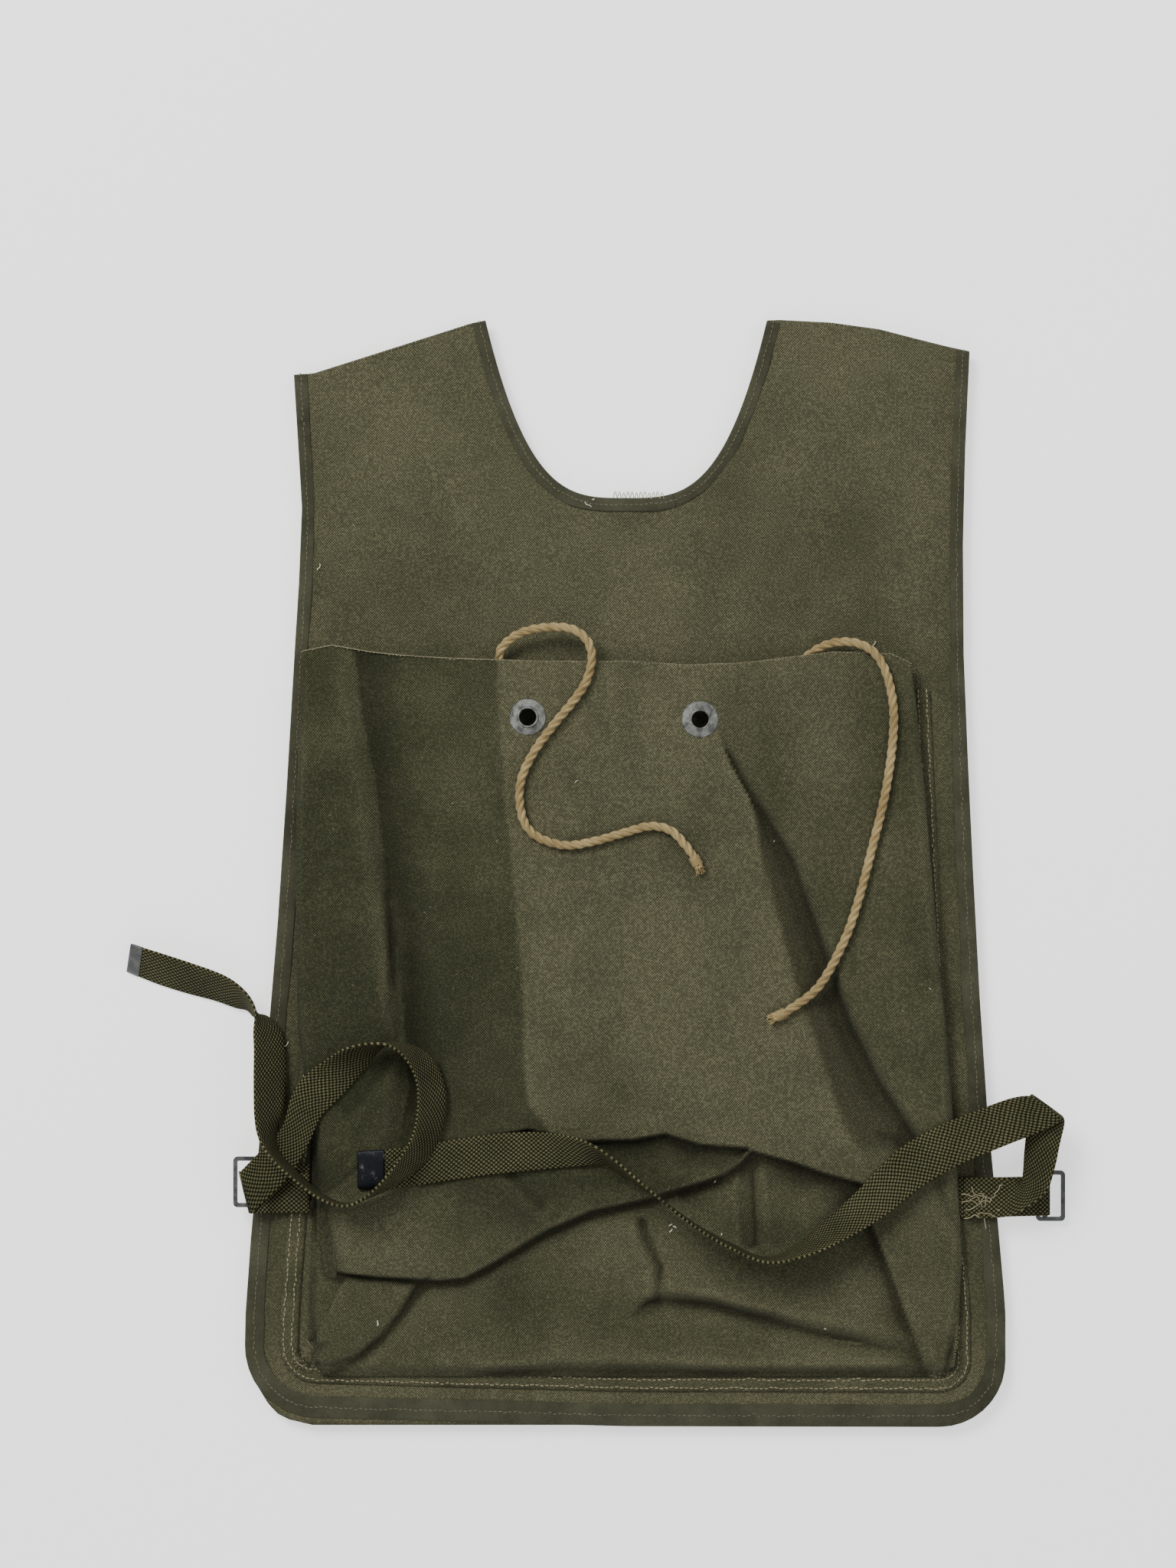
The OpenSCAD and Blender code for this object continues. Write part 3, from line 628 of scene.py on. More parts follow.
for name, spot, power, size, tint in (
        ("key_light", (-1.9, 2.3, 3.3), 190, 1.8, (1.0, 0.99, 0.97)),
        ("fill_light", (2.4, 0.6, 3.6), 40, 3.0, (0.97, 0.985, 1.0)),
        ("foot_light", (-0.4, -2.8, 3.2), 30, 3.0, (1.0, 1.0, 1.0))):
    lamp = bpy.data.objects.new(name, bpy.data.lights.new(name, "AREA"))
    lamp.data.energy = power
    lamp.data.size = size
    lamp.data.color = tint
    bpy.context.scene.collection.objects.link(lamp)
    aim(lamp, spot, (0, 0, 0))
world = bpy.data.worlds.new("studio")
bpy.context.scene.world = world
world.use_nodes = True
world.node_tree.nodes["Background"].inputs[0].default_value = (1, 1, 1, 1)
world.node_tree.nodes["Background"].inputs[1].default_value = 0.42

floor_white, nt, b = new_material("floor_white", rough=0.9, specular=0.1)
b.inputs["Base Color"].default_value = (0.92, 0.92, 0.92, 1)
b.inputs["Emission Color"].default_value = (1, 1, 1, 1)
b.inputs["Emission Strength"].default_value = 0.9
# from beneath the floor is clear, so that the underside can be seen
two = nt.nodes.new("ShaderNodeMixShader")
nt.links.new(node(nt, "ShaderNodeNewGeometry").outputs["Backfacing"], two.inputs[0])
nt.links.new(b.outputs[0], two.inputs[1])
nt.links.new(nt.nodes.new("ShaderNodeBsdfTransparent").outputs[0], two.inputs[2])
nt.links.new(two.outputs[0], nt.nodes["Material Output"].inputs["Surface"])
gx, gy = np.meshgrid(np.linspace(-6000, 6000, 3), np.linspace(-6000, 6000, 3))
floor = make_mesh("floor", np.stack([gx, gy, gx * 0], -1).reshape(-1, 3),
                  [[0, 1, 4, 3], [1, 2, 5, 4], [3, 4, 7, 6], [4, 5, 8, 7]], floor_white)


# ---------------------------------------------------------------- ropes

def rope_path(route, last):
    """The rope's centreline: the route's points as a smooth curve, with its whipped end."""
    return smooth_line(np.array(route + [last], float), 1.6)


ROPE_LAY, STRAND_AT, STRAND_R = 20.5, 1.50, 1.72
WHIP_PITCH, WHIP_R = 0.75, 3.6


def laid_rope(name, line, cut):
    """Three strands twisted round a centreline: each strand's centre turns about the line once in each
    lay, and its section is round. The last stretch is bound tight and frays out."""
    _, s, u = frames_along(line)
    d = arc_length(line)
    phi = 2 * math.pi * d / ROPE_LAY
    k = np.arange(12) * math.pi / 6
    rings, uvs = [], []
    swell = 1 - 0.10 * smoothstep(cut, cut + 2, d) + 0.25 * smoothstep(d[-1] - 3.5, d[-1], d)
    for j in range(3):
        p = phi + j * 2 * math.pi / 3
        out = np.cos(p)[:, None] * s + np.sin(p)[:, None] * u
        c = line + STRAND_AT * swell[:, None] * out
        sid = -np.sin(p)[:, None] * s + np.cos(p)[:, None] * u
        r = STRAND_R * swell[:, None, None]
        rings.append(c[:, None] + r * (np.cos(k)[None, :, None] * out[:, None] + np.sin(k)[None, :, None]
                * sid[:, None]))
        uvs.append(np.stack([np.broadcast_to(k[None] * 1.7, (len(d), 12)),
                             np.broadcast_to(d[:, None], (len(d), 12))], -1))
    parts = [sweep(f"{name}_{j}", rings[j], rope_yarn, uvs[j]) for j in range(3)]
    return join(name, parts)


def join(name, parts):
    """One object from several of the same kind."""
    for o in bpy.context.selected_objects:
        o.select_set(False)
    for o in parts:
        o.select_set(True)
    bpy.context.view_layer.objects.active = parts[0]
    bpy.ops.object.join()
    parts[0].name = name
    parts[0].data.name = name
    return parts[0]


left_route = [[-88, 86, 15.2], [-88, 94, 15.2], [-88, 104, 15.2], [-88, 118, 15.2], [-87, 130, 15.6],
              [-86, 141, 16.6],
              [-86, 152, 20], [-79, 160, 23.5], [-68, 165.5, 26], [-53, 168, 27.5], [-38, 167, 28.4],
              [-27.5, 160, 29.2],
              [-23.5, 148, 29.4], [-27, 132, 29.3], [-36, 118, 29.3], [-50, 101, 29.3], [-63, 83, 29.3],
              [-71, 66, 29.3], [-72.5, 51, 29.3], [-69, 35, 29.3], [-59, 25, 29.3], [-41, 20, 29.3],
              [-21, 23, 29.3], [0, 29, 29.3], [16, 33, 29.3], [30, 30, 29.3], [40, 20, 29.3],
              [45, 13, 29.3]]
right_route = [[62, 86, 15.2], [62, 94, 15.2], [63, 101, 15.2], [69, 114, 15.2], [83, 126, 15.2],
               [101, 136, 15.6],
               [118, 145, 16.8], [131, 154, 20], [143, 158, 24], [157, 157, 27.6], [169, 149.5, 29.4],
               [177, 134, 29.4],
               [181, 112, 29.3], [180, 86, 29.3], [175, 53, 29.3], [167, 20, 29.3], [157, -18, 29.3],
               [147, -46, 29.3],
               [130, -76, 29.3], [108, -93, 29.3]]


def whipped_end(name, line, at, turns, seed):
    """Thread wound tightly round the rope's end, a few loose fibres, and one loose loop of thread."""
    rr = np.random.default_rng(seed)
    d = arc_length(line)
    t, s, u = frames_along(line)
    w = np.linspace(at, at + turns * WHIP_PITCH, turns * 14)
    p = w / WHIP_PITCH * 2 * math.pi
    pick = lambda a: np.stack([np.interp(w, d, a[:, i]) for i in range(3)], 1)
    coil = pick(line) + WHIP_R * (np.cos(p)[:, None] * pick(s) + np.sin(p)[:, None] * pick(u))
    lines = [coil]
    end, way, sd, up = line[-1], t[-1], s[-1], u[-1]
    for k in range(2):
        # a loose loop of the whipping thread lies beside the end
        q = np.linspace(0, 2 * math.pi, 16)[:, None]
        lines.append(end + (1.5 + 2.2 * k) * way * (1 - np.cos(q)) + (3.4 - 6.0 * k) * sd * np.sin(q) * 0.9
                     - 3.0 * way
                     + np.array([0, 0, -1.5 + k]))
    for _ in range(46):
        a = rr.uniform(0, 2 * math.pi)
        r0 = rr.uniform(0.4, 2.8)
        ln = rr.uniform(1.5, 5.5)
        out = math.cos(a) * sd + math.sin(a) * up
        q = np.linspace(0, 1, 5)[:, None]
        lines.append(end - 1.5 * way + r0 * out + q * ln * way + q ** 2 * ln * rr.uniform(0.1, 0.6) * out
                     + q ** 2 * rr.normal(0, 0.8, 3) * np.array([1, 1, 0.3]))
    return thread(name, lines, 0.27, rope_yarn)


CUT_L, CUT_R = [49.5, 4.6, 29.2], [99.8, -96.8, 29.2]
rope_len = {}
for tag, route, cut in (("left", left_route, CUT_L), ("right", right_route, CUT_R)):
    line = rope_path(route, cut)
    total = arc_length(line)[-1]
    rope = laid_rope(f"{tag}_tie_rope", line, total - 12)
    whip = whipped_end(f"{tag}_rope_end", line, total - 9, 9, 5 if tag == "left" else 9)
    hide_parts(f"{tag}_rope")
    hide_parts(f"{tag}_rope_whipping")
    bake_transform(rope)
    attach(whip, "front_mouth")
    rope_len[tag] = total


# ---------------------------------------------------------------- canvas halves

# each half's lower and upper face
LAYER = {"front": (10.3, 11.5), "back": (7.5, 8.7)}


def half_grid(nx=(36, 84, 36), ny=190, inset=0.8):
    """Grid of one half: columns run from the hem to the top edge, closer together near the head
    opening's sides."""
    th = np.linspace(-90, 90, nx[1])
    mid = NECK_HALF * np.sin(np.radians(th))
    kind = np.concatenate([np.full(nx[0], 0), np.full(nx[1], 1), np.full(nx[2], 2)])
    v = np.linspace(0, 1, ny)[:, None]
    xs = np.concatenate([np.linspace(-226.5, -NECK_HALF, nx[0], endpoint=False), mid,
                         np.linspace(NECK_HALF, 234, nx[2] + 1)[1:]])
    top = top_y(xs) - inset
    bot = np.full(xs.shape, -376.0)
    y = bot + (top - bot) * v
    l, r = side_x(y)
    l, r = l + inset, r - inset
    # the neck's columns keep their place; the outer columns spread to the edge at each height
    share_l = (xs + NECK_HALF) / (226.5 - NECK_HALF)
    share_r = (xs - NECK_HALF) / (234 - NECK_HALF)
    x = np.where(kind == 0, -NECK_HALF + share_l * (-l - NECK_HALF),
                 np.where(kind == 2, NECK_HALF + share_r * (r - NECK_HALF), xs))
    return x, y


def canvas_marks(x, y):
    """How faded (0 to 1) and how dark the open canvas is: paler on the shoulders' middle, darker in a band
    along the edges, with a few dirty patches."""
    fade = 0.72 + 0.12 * ripple(x, y, 150, 3) + 0.10 * smoothstep(100, 300, y)
    fade = fade - 0.12 * smoothstep(165, 120, y) + 0.30 * smoothstep(-300, -345, y)
    l, r = side_x(y)
    edge = np.minimum(x - l, r - x)
    soil_and_painted_shade = 0.10 * bump(edge - 10, 14) + 0.05 * (ripple(x, y, 60, 9) > 1.1)
    return {"fade": np.clip(fade, 0, 1), "soil_and_painted_shade": np.clip(soil_and_painted_shade, 0, 1)}


def canvas_half(which):
    x, y = half_grid()
    lo, hi = LAYER[which]
    if which == "front":
        calm = smoothstep(150, 190, y)
        z = hi + calm * (0.45 * ripple(x, y, 90, 21) + 0.25 * ripple(x, y, 34, 22))
        z += crease(x, y, [(140, 352), (168, 300), (186, 240)], 9, 14, 1.3) * calm
        z += crease(x, y, [(-200, 300), (-150, 262), (-118, 230)], 10, 16, 0.9) * calm
        z += crease(x, y, [(-70, 240), (-10, 214), (60, 226), (120, 214)], 12, 18, 0.8) * calm
        z += crease(x, y, [(-190, 200), (-90, 186), (30, 192), (150, 184)], 8, 14, 0.7) * calm
        z = np.clip(z, hi - 0.2, hi + 2.6)
        p = np.stack([x, y, z], -1)
        return shell("front_canvas", p, 1.1, duck, marks=canvas_marks(x, y))
    z = lo - 0.15 * (1 + ripple(x, y, 80, 31)) * smoothstep(150, 190, y)
    p = np.stack([x, y, np.clip(z, lo - 0.6, lo)], -1)
    return shell("back_canvas", p, 1.1, duck, marks=canvas_marks(x, y), up=False)


front_canvas = canvas_half("front")
back_canvas = canvas_half("back")
for o, n in ((front_canvas, "front"), (back_canvas, "back")):
    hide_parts(f"{n}_panel")
    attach(o, n)


def shoulder_fold():
    """The canvas that joins the halves over each shoulder: from the back's top edge, round a half
    circle, to the front's."""
    parts = []
    for lo, hi in ((-226, -96.8), (96.8, 233.5)):
        xs = np.linspace(lo, hi, 60)
        a = np.radians(np.linspace(-90, 90, 15))[:, None]
        y = top_y(xs)[None] - 1.5 + 1.9 * np.cos(a)
        z = 9.5 + 1.95 * np.sin(a) + 0.12 * ripple(xs[None] + 0 * a, y, 30, 5)
        p = np.stack([np.broadcast_to(xs[None], y.shape), y, z], -1)
        parts.append(p)
    return parts


for k, p in enumerate(shoulder_fold()):
    fold = shell(f"{('left', 'right')[k]}_shoulder_fold", p, 1.0, duck,
                 uv=np.stack([p[..., 0], p[..., 1] + p[..., 2]], -1),
                 marks=canvas_marks(p[..., 0], p[..., 1]))
    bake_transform(fold)


# ---------------------------------------------------------------- binding tape

def tape_along(name, line, width, z_low, z_high, material, seed, uneven=0.35):
    """Tape folded over a cloth edge: a U section (top limb, round edge, bottom limb) carried along the
    edge, whose limbs are width wide. line runs with the cloth on its left."""
    t = np.gradient(line, axis=0)
    t /= np.linalg.norm(t, axis=1, keepdims=True)
    inward = np.stack([-t[:, 1], t[:, 0]], 1)
    d = arc_length(line)
    w = np.broadcast_to(np.asarray(width, float), d.shape) + uneven * ripple(d, d * 0, 45, seed)
    m, h = (z_low + z_high) / 2, (z_high - z_low) / 2
    a = np.radians(np.linspace(-90, 90, 7))
    # outside: from the bottom limb's inner edge, round the cloth's edge, to the top limb's inner edge
    share = [1.0, 0.97, 0.5]
    outer = [(q, -1.0) for q in share] + [(None, math.sin(b)) for b in a] + [(q, 1.0) for q in share[::-1]]
    ring = []
    pucker = 0.16 * ripple(d, d * 0, 9, seed + 1) + 0.2 * ripple(d, d * 0, 30, seed + 2)
    for k, (q, zz) in enumerate(outer):
        if q is None:
            off = h * (1 - math.cos(a[k - 3])) * 0.9
            z = m + h * zz
            ring.append(np.stack([*(line + inward * off).T, np.full(d.shape, z)], 1))
        else:
            off = w * q
            z = m + zz * (h + (0.12 + np.abs(pucker) * 0.5) * (0.2 if q > 0.99 else 1.0))
            ring.append(np.stack([*(line + inward * off[:, None]).T, z], 1))
    for q, zz in ((0.99, 1), (0.5, 1), (0.12, 1), (0.12, -1), (0.5, -1), (0.99, -1)):
        off = w * q
        ring.append(np.stack([*(line + inward * off[:, None]).T, np.full(d.shape, m + zz * (h - 0.62))], 1))
    rings = np.stack(ring, 1)
    acc = np.array([0, 0.2, 5, 9.5, 9.8, 10.2, 10.6, 11, 11.4, 11.8, 15, 21, 21.3, 21.6, 26, 30, 31, 35,
                    40])[: rings.shape[1]]
    uv = np.stack([np.broadcast_to(acc[None], rings.shape[:2]),
                   np.broadcast_to(d[:, None], rings.shape[:2])], -1)
    return sweep(name, rings, material, uv)


side_path = resample(outline, 3.0)
edge_w = np.interp(side_path[:, 1], [-377, -374, -366, -300, -150, 60, 150],
                   [15.5, 15.5, 14.5, 12.5, 12, 11, 9])
th = np.radians(np.linspace(90, -90, 160))
neck_line = resample(np.stack([NECK_HALF * np.sin(th), neck_y(NECK_HALF * np.sin(th))], 1), 2.4)
half = len(neck_line) // 2
for which, lo, hi, seed in (("front", 9.7, 12.1, 41), ("back", 6.9, 9.3, 51)):
    edge = tape_along(f"{which}_edge_tape", side_path, edge_w, lo, hi, binding_tape, seed)
    neck_r = tape_along(f"{which}_neck_tape_a", neck_line[: half + 14], 9.0, lo, hi, binding_tape, 61)
    neck_l = tape_along(f"{which}_neck_tape_b", neck_line[half - 14:], 9.4, lo - 0.12, hi + 0.35,
                        binding_tape, 63)
    neck = join(f"{which}_neck_tape", [neck_r, neck_l])
    for o, n in ((edge, f"edge_binding_{which}"), (neck, f"neck_binding_{which}")):
        fit(o, "binding", which, n)


def inset(line, dist):
    """A flat path moved to its left by dist."""
    t = np.gradient(line, axis=0)
    t /= np.linalg.norm(t, axis=1, keepdims=True)
    inward = np.stack([-t[:, 1], t[:, 0]], 1)
    return line + inward * np.broadcast_to(np.asarray(dist, float), len(line))[:, None]


def at_height(line, z):
    return np.stack([line[:, 0], line[:, 1], np.broadcast_to(z, len(line))], 1)


def sew(name, line, z, body, material=None, pitch=3.4, length=2.5, r=0.28, seed=1, **kw):
    """A stitch row at a height, riding on a body."""
    o = stitches(name, at_height(line, z) if line.shape[1] == 2 else line, pitch, length, r,
                 material or drab_thread, seed=seed, **kw)
    fit(o, "binding", body)
    return o


sew("front_edge_stitching", inset(side_path, edge_w * 0.50), 12.3, "front", seed=11, wander=0.35)
sew("front_neck_stitching", inset(neck_line, 4.6), 12.6, "front", seed=12, wander=0.3)
for which, z in (("edge", 6.55), ("neck", 6.45)):
    row = inset(side_path, edge_w * 0.5) if which == "edge" else inset(neck_line, 4.6)
    o = stitches(f"back_{which}_stitching", at_height(row, z), 3.4, 2.5, 0.28, drab_thread, seed=14)
    fit(o, "binding", "back")


def bar_tack(name, points, z, body, material, r=0.3):
    """Zigzag of thread over the tape's overlap."""
    line = smooth_line(np.array([(x, y, z + 0.25 * (k % 2)) for k, (x, y) in enumerate(points)], float),
                       0.8)
    o = thread(name, [line], r, material)
    fit(o, "binding", body)
    return o


zig = [(-9 + 1.45 * k, 258.2 + (2.6 if k % 2 else -1.8) + 0.5 * math.sin(k)) for k in range(25)]
bar_tack("neck_bar_tack", zig, 12.75, "front", pale_thread)


# ---------------------------------------------------------------- front pocket's face

mouth_line = np.array([(-220, 152), (-200, 156), (-174, 151.5), (-151, 149), (-117, 147), (-53, 145),
                       (0, 145), (43, 142.5), (80, 144), (121, 149), (141, 151.5), (180, 150), (193, 144)],
                      float)

# the grommets' openings, and where the face begins to stretch towards its mouth
FRONT_HOLES = [(-67, 107), (50, 105.5)]
REAR_HOLES = [(-58, 107), (58, 107)]
HOLE_R = 6.8
FACE_BEND_Y = -128


def face_sides(y):
    """The face's left and right edge at a height."""
    l = np.interp(y, [-344, -335, -300, -230, -190, -150, -105, 0, 87, 152],
                  [-205, -212, -214.5, -214, -214, -217.5, -223.5, -225, -223, -220])
    r = np.interp(y, [-344, -335, -300, -260, -214, -105, -11, 56, 117, 144],
                  [216, 222, 226.5, 229, 226, 217, 208.5, 203, 197, 193])
    return l, r


RIGHT_EDGE = [(167, -237.5), (180.6, -271.4), (191.6, -303.3), (203.1, -332.5), (209.3, -344.5)]
FLAP_FOOT = [(-197.3, -270.9), (-170.7, -273.5), (-128.9, -276.1), (-110.7, -274.6), (-91.4, -264.7),
             (-54.8, -242.2), (-23.5, -228.6), (13.1, -220.8), (44.9, -211.4), (67.3, -203.6),
             (78.8, -194.7)]
LOWER = FLAP_FOOT + [(84.6, -187.9), (112.8, -195.8), (135.2, -203.6), (160.3, -210.4), (167, -237.5),
                     (180.6, -271.4), (191.6, -303.3), (203.1, -332.5), (209.3, -344.5), (209.3, -364.4),
                     (-222.4, -364.4), (-226.5, -286.1), (-219.2, -239.1), (-209.8, -218.2)]
FLAP = FLAP_FOOT + [(83, -186.4), (49.1, -183.7), (26.6, -176.4), (4.2, -180.6), (-29.8, -181.7),
                    (-66.8, -173.8), (-113.8, -181.7), (-181.7, -197.3), (-205.1, -218.2)]
UNDERFOLD = [(-191.1, -274.6), (-142.5, -278.7), (-154.5, -297.5), (-167, -313.2), (-182.7, -326.8),
             (-202.5, -334.1), (-215.6, -330.4), (-207.8, -306.9)]
RIGHTFOLD = RIGHT_EDGE + [(220.3, -338.3), (225.5, -312.2), (229.7, -286.1), (230.7, -254.7),
        (228.1, -218.2), (225.5, -186.9), (194.2, -181.7), (173.3, -207.8)]
FLAP_TOP = [(-66.8, -173.8), (-29.8, -181.7), (4.2, -180.6), (26.6, -176.4), (49.1, -183.7), (83, -187.4)]
LEFT_SLOT = [(-216.1, -176.4), (-210.4, -218.2), (-199.4, -267.8)]
RIGHT_TUCK = [(173.3, -176.4), (195.2, -186.9), (210.9, -207.8), (224.5, -239.1)]
LAP_SHADOW = [(-113.8, -155.6), (-66.8, -168.6), (-29.8, -179.6), (4.2, -178.5), (26.6, -173.8),
              (49.1, -182.2), (83, -186.9), (112.8, -195.8), (135.2, -203.6), (160.3, -210.4)]
UNDERFOLD_EDGE = [(-136.8, -274.6), (-153.5, -299.6), (-168.1, -316.9), (-185.8, -330.9), (-205.1, -340.9)]
SHADE_LINE = [(-88.2, 145.1), (-82, 42.3), (-78.8, 18.3), (-69.9, -86.7), (-69.9, -131.5), (-66.8, -155.6),
              (-51.2, -176.4), (-30.3, -186.9)]
EDGE_L = [(-184.8, 157.6), (-179, 107), (-170.2, 64.7), (-165.5, 20.4), (-159.7, -19.8), (-154.5, -61.6),
          (-150.3, -103.4), (-147.7, -145.1), (-155.6, -186.9)]
PLATEAU_R = [(55.9, 131.5), (66.3, 113.3), (75.2, 97.6), (82, 72.6), (85.6, 42.8), (87.2, 18.3),
             (97.6, -24), (112.8, -77.8), (131, -131.5), (143, -167.6), (157.6, -192.1)]
VALLEY_R = [(62.6, 97.6), (67.9, 82), (86.1, 48), (110.1, 8.9), (131, -50.6), (148.8, -101.8),
            (169.7, -143.6), (191.1, -176.4), (199.4, -192.1)]


def face_height(x, y):
    """Height of the pocket's face: a flat upper part, two long folds that run down it, a lower edge
    where it laps over itself, and the sunken bottom with its creases. Each fold is a bell or a step
    across a line."""
    z = np.full(x.shape, 25.45)
    z += 0.28 * ripple(x, y, 70, 101) + 0.14 * ripple(x, y, 26, 102)
    l, r = face_sides(y)
    # long soft valley down the left, a steep drop on its left bank and a slow rise on its right
    d, side, along = to_line(x, y, EDGE_L)
    bank = np.where(side > 0, smoothstep(75, 0, d) ** 1.5, smoothstep(16, 0, d) ** 1.2)
    z -= bank * np.interp(along, [0, 0.1, 0.35, 0.75, 1], [0.8, 2.6, 4.6, 6.2, 3.0])
    # sharp pleat that starts half way down it
    z = folded(z, x, y, [
        (5.2, 9, 3.2, [(-163.4, 8.9), (-158.7, -19.8), (-154, -41.8), (-150.3, -94), (-148.8, -110.1),
                       (-155.6, -134.7)], {"taper": [0, 0.7, 1, 1, 0.6, 0]}),
        (-3.2, 2.6, 3.0, [(-165, 16.7), (-162.3, -4.2), (-160.3, -30.3), (-159.2, -61.6), (-159.7, -98.1)],
         {"taper": [0, 1, 1, 0.7, 0]}),
        (1.2, 20, 24, [(-202.5, 142), (-201.5, 74.1), (-199.4, -4.2), (-197.3, -92.9), (-192.1, -145.1)])])
    # seam-like step where the faded canvas starts
    z += 0.55 * smoothstep(-3, 3, to_line(x, y, SHADE_LINE)[0]
                           * to_line(x, y, SHADE_LINE)[1]) * smoothstep(-190, -120, y)
    # right fold: a slope from the plateau's edge down to the valley, then a steep bank up
    dv, sv, av = to_line(x, y, VALLEY_R)
    dp, sp, _ = to_line(x, y, PLATEAU_R)
    depth = np.interp(av, [0, 0.06, 0.2, 0.45, 0.8, 1.0], [1.5, 4.2, 7.0, 9.5, 10.5, 7.0])
    between = dp / (dp + dv + 1e-6)
    slope = np.where((sv < 0) & (sp > 0), smoothstep(0.0, 1.0, between) ** 1.1, 0)
    slope_near = np.where(sv > 0, smoothstep(11, 0, dv) ** 1.3, slope)
    left_tail = np.where((sv < 0) & (sp < 0), 0.0, slope_near)
    z -= depth * left_tail * smoothstep(-205, -185, y) * smoothstep(0.0, 0.05, av)
    z = folded(z, x, y, [
        (0.8, 4.5, 9, PLATEAU_R),
        (1.1, 16, 20, [(147.2, -19.8), (165.5, -61.6), (183.7, -103.4), (202, -150.3)]),
        (-1.2, 8, 5, [(52.2, 134.7), (58.5, 123.7), (66.3, 113.3), (75.2, 100.2)])])
    # slack waves over the faded middle, above its lower edge
    z = folded(z, x, y, [
        (-1.3, 14, 22, [(-61.6, -134.7), (-40.7, -150.3), (-9.4, -147.7), (16.7, -129.5)]),
        (0.8, 9, 14, [(142, -170.2), (162.9, -167), (189, -173.8)]),
        (-1.0, 3.5, 7, [(78.3, -126.8), (76.7, -155.6), (79.3, -179)])])
    # lapped lower edge and the flap under it
    flap = inside(x, y, FLAP)
    lower = inside(x, y, LOWER)
    under = smoothstep(-1.6, 1.2, flap)
    flap_z = 18.2 + 6.2 * smoothstep(0, 24, to_line(x, y, FLAP_TOP)[0])
    flap_z += 0.5 * ripple(x, y, 50, 103)
    flap_z = folded(flap_z, x, y, [
        (1.3, 6, 9, [(-189.5, -265.2), (-155.6, -265.2), (-119, -265.2), (-92.9, -254.7), (-51.2, -233.9),
                     (11.5, -213), (63.7, -196.3)]),
        (-3.4, 6, 5, [(-82.5, -199.9), (-66.8, -216.1), (-53.8, -228.6)]),
        (1.6, 12, 10, [(-134.7, -218.2), (-113.8, -239.1), (-119, -265.2)]),
        (-1.6, 6, 9, [(-111.2, -218.2), (-107.5, -244.3), (-113.8, -267.8)])])
    z = z * (1 - under) + flap_z * under
    sunk = smoothstep(-1.4, 1.4, lower)
    low_z = 17.0 + 0.6 * ripple(x, y, 60, 104) + 0.25 * ripple(x, y, 24, 105)
    low_z = folded(low_z, x, y, [
        (4.6, 7, 6, [(-113.8, -339.3), (-45.9, -329.9), (21.9, -330.9), (78.8, -335.1), (112.8, -334.6),
                     (196.3, -333)], {"ends": 0.05}),
        (2.2, 8, 6, [(-218.2, -343.5), (-176.4, -341.4), (-113.8, -336.2)], {"ends": 0.05}),
        (-6.5, 6, 5, [(84.6, -191.1), (84, -218.2), (85.1, -257.9)], {"ends": 0.1}),
        (3.4, 7, 8, [(89.8, -194.7), (92.9, -223.4), (98.1, -262.6), (89.8, -275.6)], {"ends": 0.15}),
        (-2.0, 12, 14, [(115.9, -186.9), (118.5, -218.2), (110.7, -260)]),
        (2.2, 11, 10, [(130.5, -210.4), (126.3, -239.1), (105.4, -270.4)]),
        (-2.6, 8, 10, [(157.6, -218.2), (142, -239.1), (121.1, -260)]),
        (-4.4, 4.0, 3.4, [(8.9, -231.2), (14.6, -249.5), (23, -267.8), (23, -286.1), (10.4, -299.6)],
         {"ends": 0.1}),
        (2.0, 6, 6, [(2.1, -239.1), (8.4, -260), (14.6, -276.7), (14.6, -291.3)], {"ends": 0.1}),
        (5.6, 7, 5.0, [(17.7, -286.1), (28.2, -281.9), (58.5, -286.1), (89.8, -294.4), (135.2, -304.8),
                       (191.6, -317.4)], {"taper": [0.6, 1, 0.9, 0.7, 0.6, 0.3]}),
        (-4.2, 3.4, 8, [(10.4, -297.5), (26.6, -291.3), (58.5, -293.9), (89.8, -302.8), (135.2, -314.2),
                        (191.6, -326.8)], {"taper": [0.8, 1, 0.9, 0.8, 0.7, 0.4]}),
        (2.2, 22, 22, [(-92.9, -291.3), (-51.2, -286.1), (-9.4, -291.3)]),
        (-2.2, 4, 16, [(32.4, -218.2), (68.9, -210.4), (82, -197.3)])])
    z = z * (1 - sunk) + low_z * sunk
    fold = smoothstep(-1.3, 1.6, inside(x, y, UNDERFOLD))
    z = z * (1 - fold) + (20.4 + 0.9 * smoothstep(0, 18, inside(x, y, UNDERFOLD))) * fold
    z = folded(z, x, y, [
        (-3.0, 4, 7, [(-134.7, -274.6), (-151.4, -299.6), (-166, -317.4), (-183.7, -332), (-205.1, -341.9)],
         {"ends": 0.1}),
        (3.0, 4, 4, [(-222.4, -323.6), (-218.2, -314.2), (-210.9, -312.2), (-205.7, -320.5)],
         {"ends": 0.1})])
    right = inside(x, y, RIGHTFOLD)
    rf = smoothstep(-1.2, 2.0, right)
    rz = 21.2 + 2.6 * smoothstep(0, 22, right) + 0.4 * ripple(x, y, 40, 106)
    rz += crease(x, y, [(173.3, -239.1), (187.9, -280.8), (199.4, -312.2), (209.8, -338.3)], 6, 5, 1.4)
    rz *= 1 - 0.18 * smoothstep(-300, -340, y)
    blend_r = smoothstep(-175, -235, y) * rf
    z = z * (1 - blend_r) + rz * blend_r
    z -= crease(x, y, RIGHT_TUCK[1:], 5, 5, 1.8)
    # dark slot left of the flap's left edge
    z -= 6.0 * bump(to_line(x, y, LEFT_SLOT)[0], 7) * smoothstep(-150, -175, y)
    z -= crease(x, y, [(-194.7, -167), (-181.7, -155.6), (-166, -134.7), (-155.6, -108.6)], 8, 4, 3.4)
